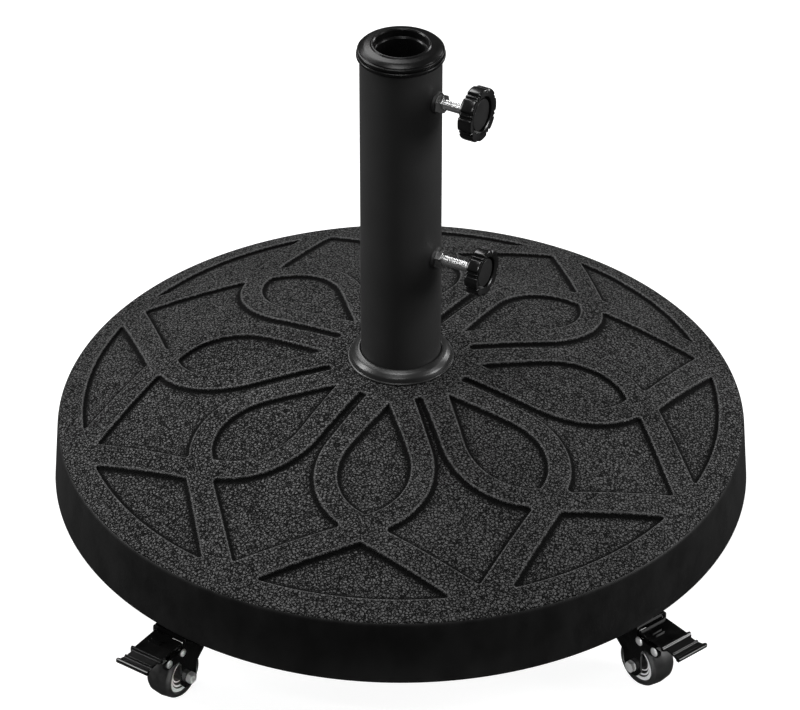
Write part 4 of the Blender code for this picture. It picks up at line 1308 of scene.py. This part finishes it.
def floor():
    """A plain pale floor, kept dark to everything but the eye so that it doesn't tint the gloss."""
    shape = bmesh.new()
    bmesh.ops.create_grid(shape, x_segments=8, y_segments=8, size=30.0)
    item = solid("floor", shape, moved(z=-0.0002))
    finish = Finish("pale_floor", 0.9, specular=0.0)
    cloud = finish.noise(0.8, 2.0)
    finish.colours(cloud, grey(0.30), grey(0.32), 0.3, 0.7)
    finish.shader.inputs["Emission Color"].default_value = (1.0, 1.0, 1.0, 1.0)
    finish.shader.inputs["Emission Strength"].default_value = FLOOR_GLOW
    dark = finish.node("ShaderNodeBsdfDiffuse")
    dark.inputs["Color"].default_value = (*grey(FLOOR_REFLECTION), 1.0)
    seen = finish.node("ShaderNodeLightPath").outputs["Is Camera Ray"]
    mix = finish.node("ShaderNodeMixShader")
    finish.link(seen, mix.inputs["Fac"])
    finish.link(dark.outputs["BSDF"], mix.inputs[1])
    finish.link(finish.shader.outputs["BSDF"], mix.inputs[2])
    finish.link(mix.outputs["Shader"], finish.tree.nodes["Material Output"].inputs["Surface"])
    item.data.materials.append(finish.material)


def softbox(name, place, target, width, height, power, spread=180):
    light = bpy.data.lights.new(name, "AREA")
    light.shape = "RECTANGLE"
    light.size = width
    light.size_y = height
    light.energy = power
    light.spread = radians(spread)
    item = bpy.data.objects.new(name, light)
    bpy.context.scene.collection.objects.link(item)
    item.location = place
    item.visible_camera = False
    item.rotation_mode = "QUATERNION"
    item.rotation_quaternion = (Vector(target) - Vector(place)).to_track_quat("-Z", "Y")


def lights():
    world = bpy.data.worlds.new("studio")
    bpy.context.scene.world = world
    world.use_nodes = True
    world.node_tree.nodes["Background"].inputs["Color"].default_value = (1.0, 1.0, 1.0, 1.0)
    world.node_tree.nodes["Background"].inputs["Strength"].default_value = WORLD_GLOW
    middle = (0.0, 0.0, 0.2)
    softbox("key_box", (-0.9, 1.9, 2.5), middle, 1.8, 1.5, 58)
    softbox("top_box", (-0.2, -0.4, 3.0), middle, 1.1, 0.9, 34)
    softbox("left_box", (-1.95, 0.30, 1.2), middle, 0.6, 1.2, 35)
    softbox("right_box", (2.0, -0.35, 1.0), middle, 0.6, 1.2, 30)
    softbox("corner_box", (1.7, 1.5, 1.1), middle, 0.5, 0.8, 16)
    softbox("front_strip", (-0.4, -2.2, 2.5), middle, 1.3, 0.13, 17)
    for side, name in ((-1, "left"), (1, "right")):
        wheel_place = (side * 0.175, -0.18, 0.018)
        softbox(name + "_wheel_card", (-side * 0.10, -0.85, 0.035), wheel_place,
                0.25, 0.04, 0.055, spread=14)


def camera():
    """A long lens, raised and looking down at the disc."""
    distance = 12 * RIM_RADIUS
    height = RIM_HEIGHT + distance * sin(CAMERA_ELEVATION)
    dip = CAMERA_ELEVATION - CAMERA_AIM_ABOVE
    data = bpy.data.cameras.new("camera")
    data.lens = FOCAL_LENGTH
    data.sensor_width = SENSOR_WIDTH
    data.shift_x = -0.0011
    data.clip_end = 200.0
    item = bpy.data.objects.new("camera", data)
    bpy.context.scene.collection.objects.link(item)
    item.location = (0.0, -distance * cos(CAMERA_ELEVATION), height)
    item.rotation_euler = (pi / 2 - dip, 0.0, 0.0)
    bpy.context.scene.camera = item


# ---- assembly -----------------------------------------------------------------------
weight_disc()
pole_tube()
foot_ring()
top_cap()
reducer_sleeve()
end_plug()
centre_bolt()
clamp("upper")
clamp("lower")
for caster_name in CASTERS:
    caster_pieces(caster_name)
floor()
lights()
camera()
bpy.context.scene.view_settings.view_transform = "Standard"
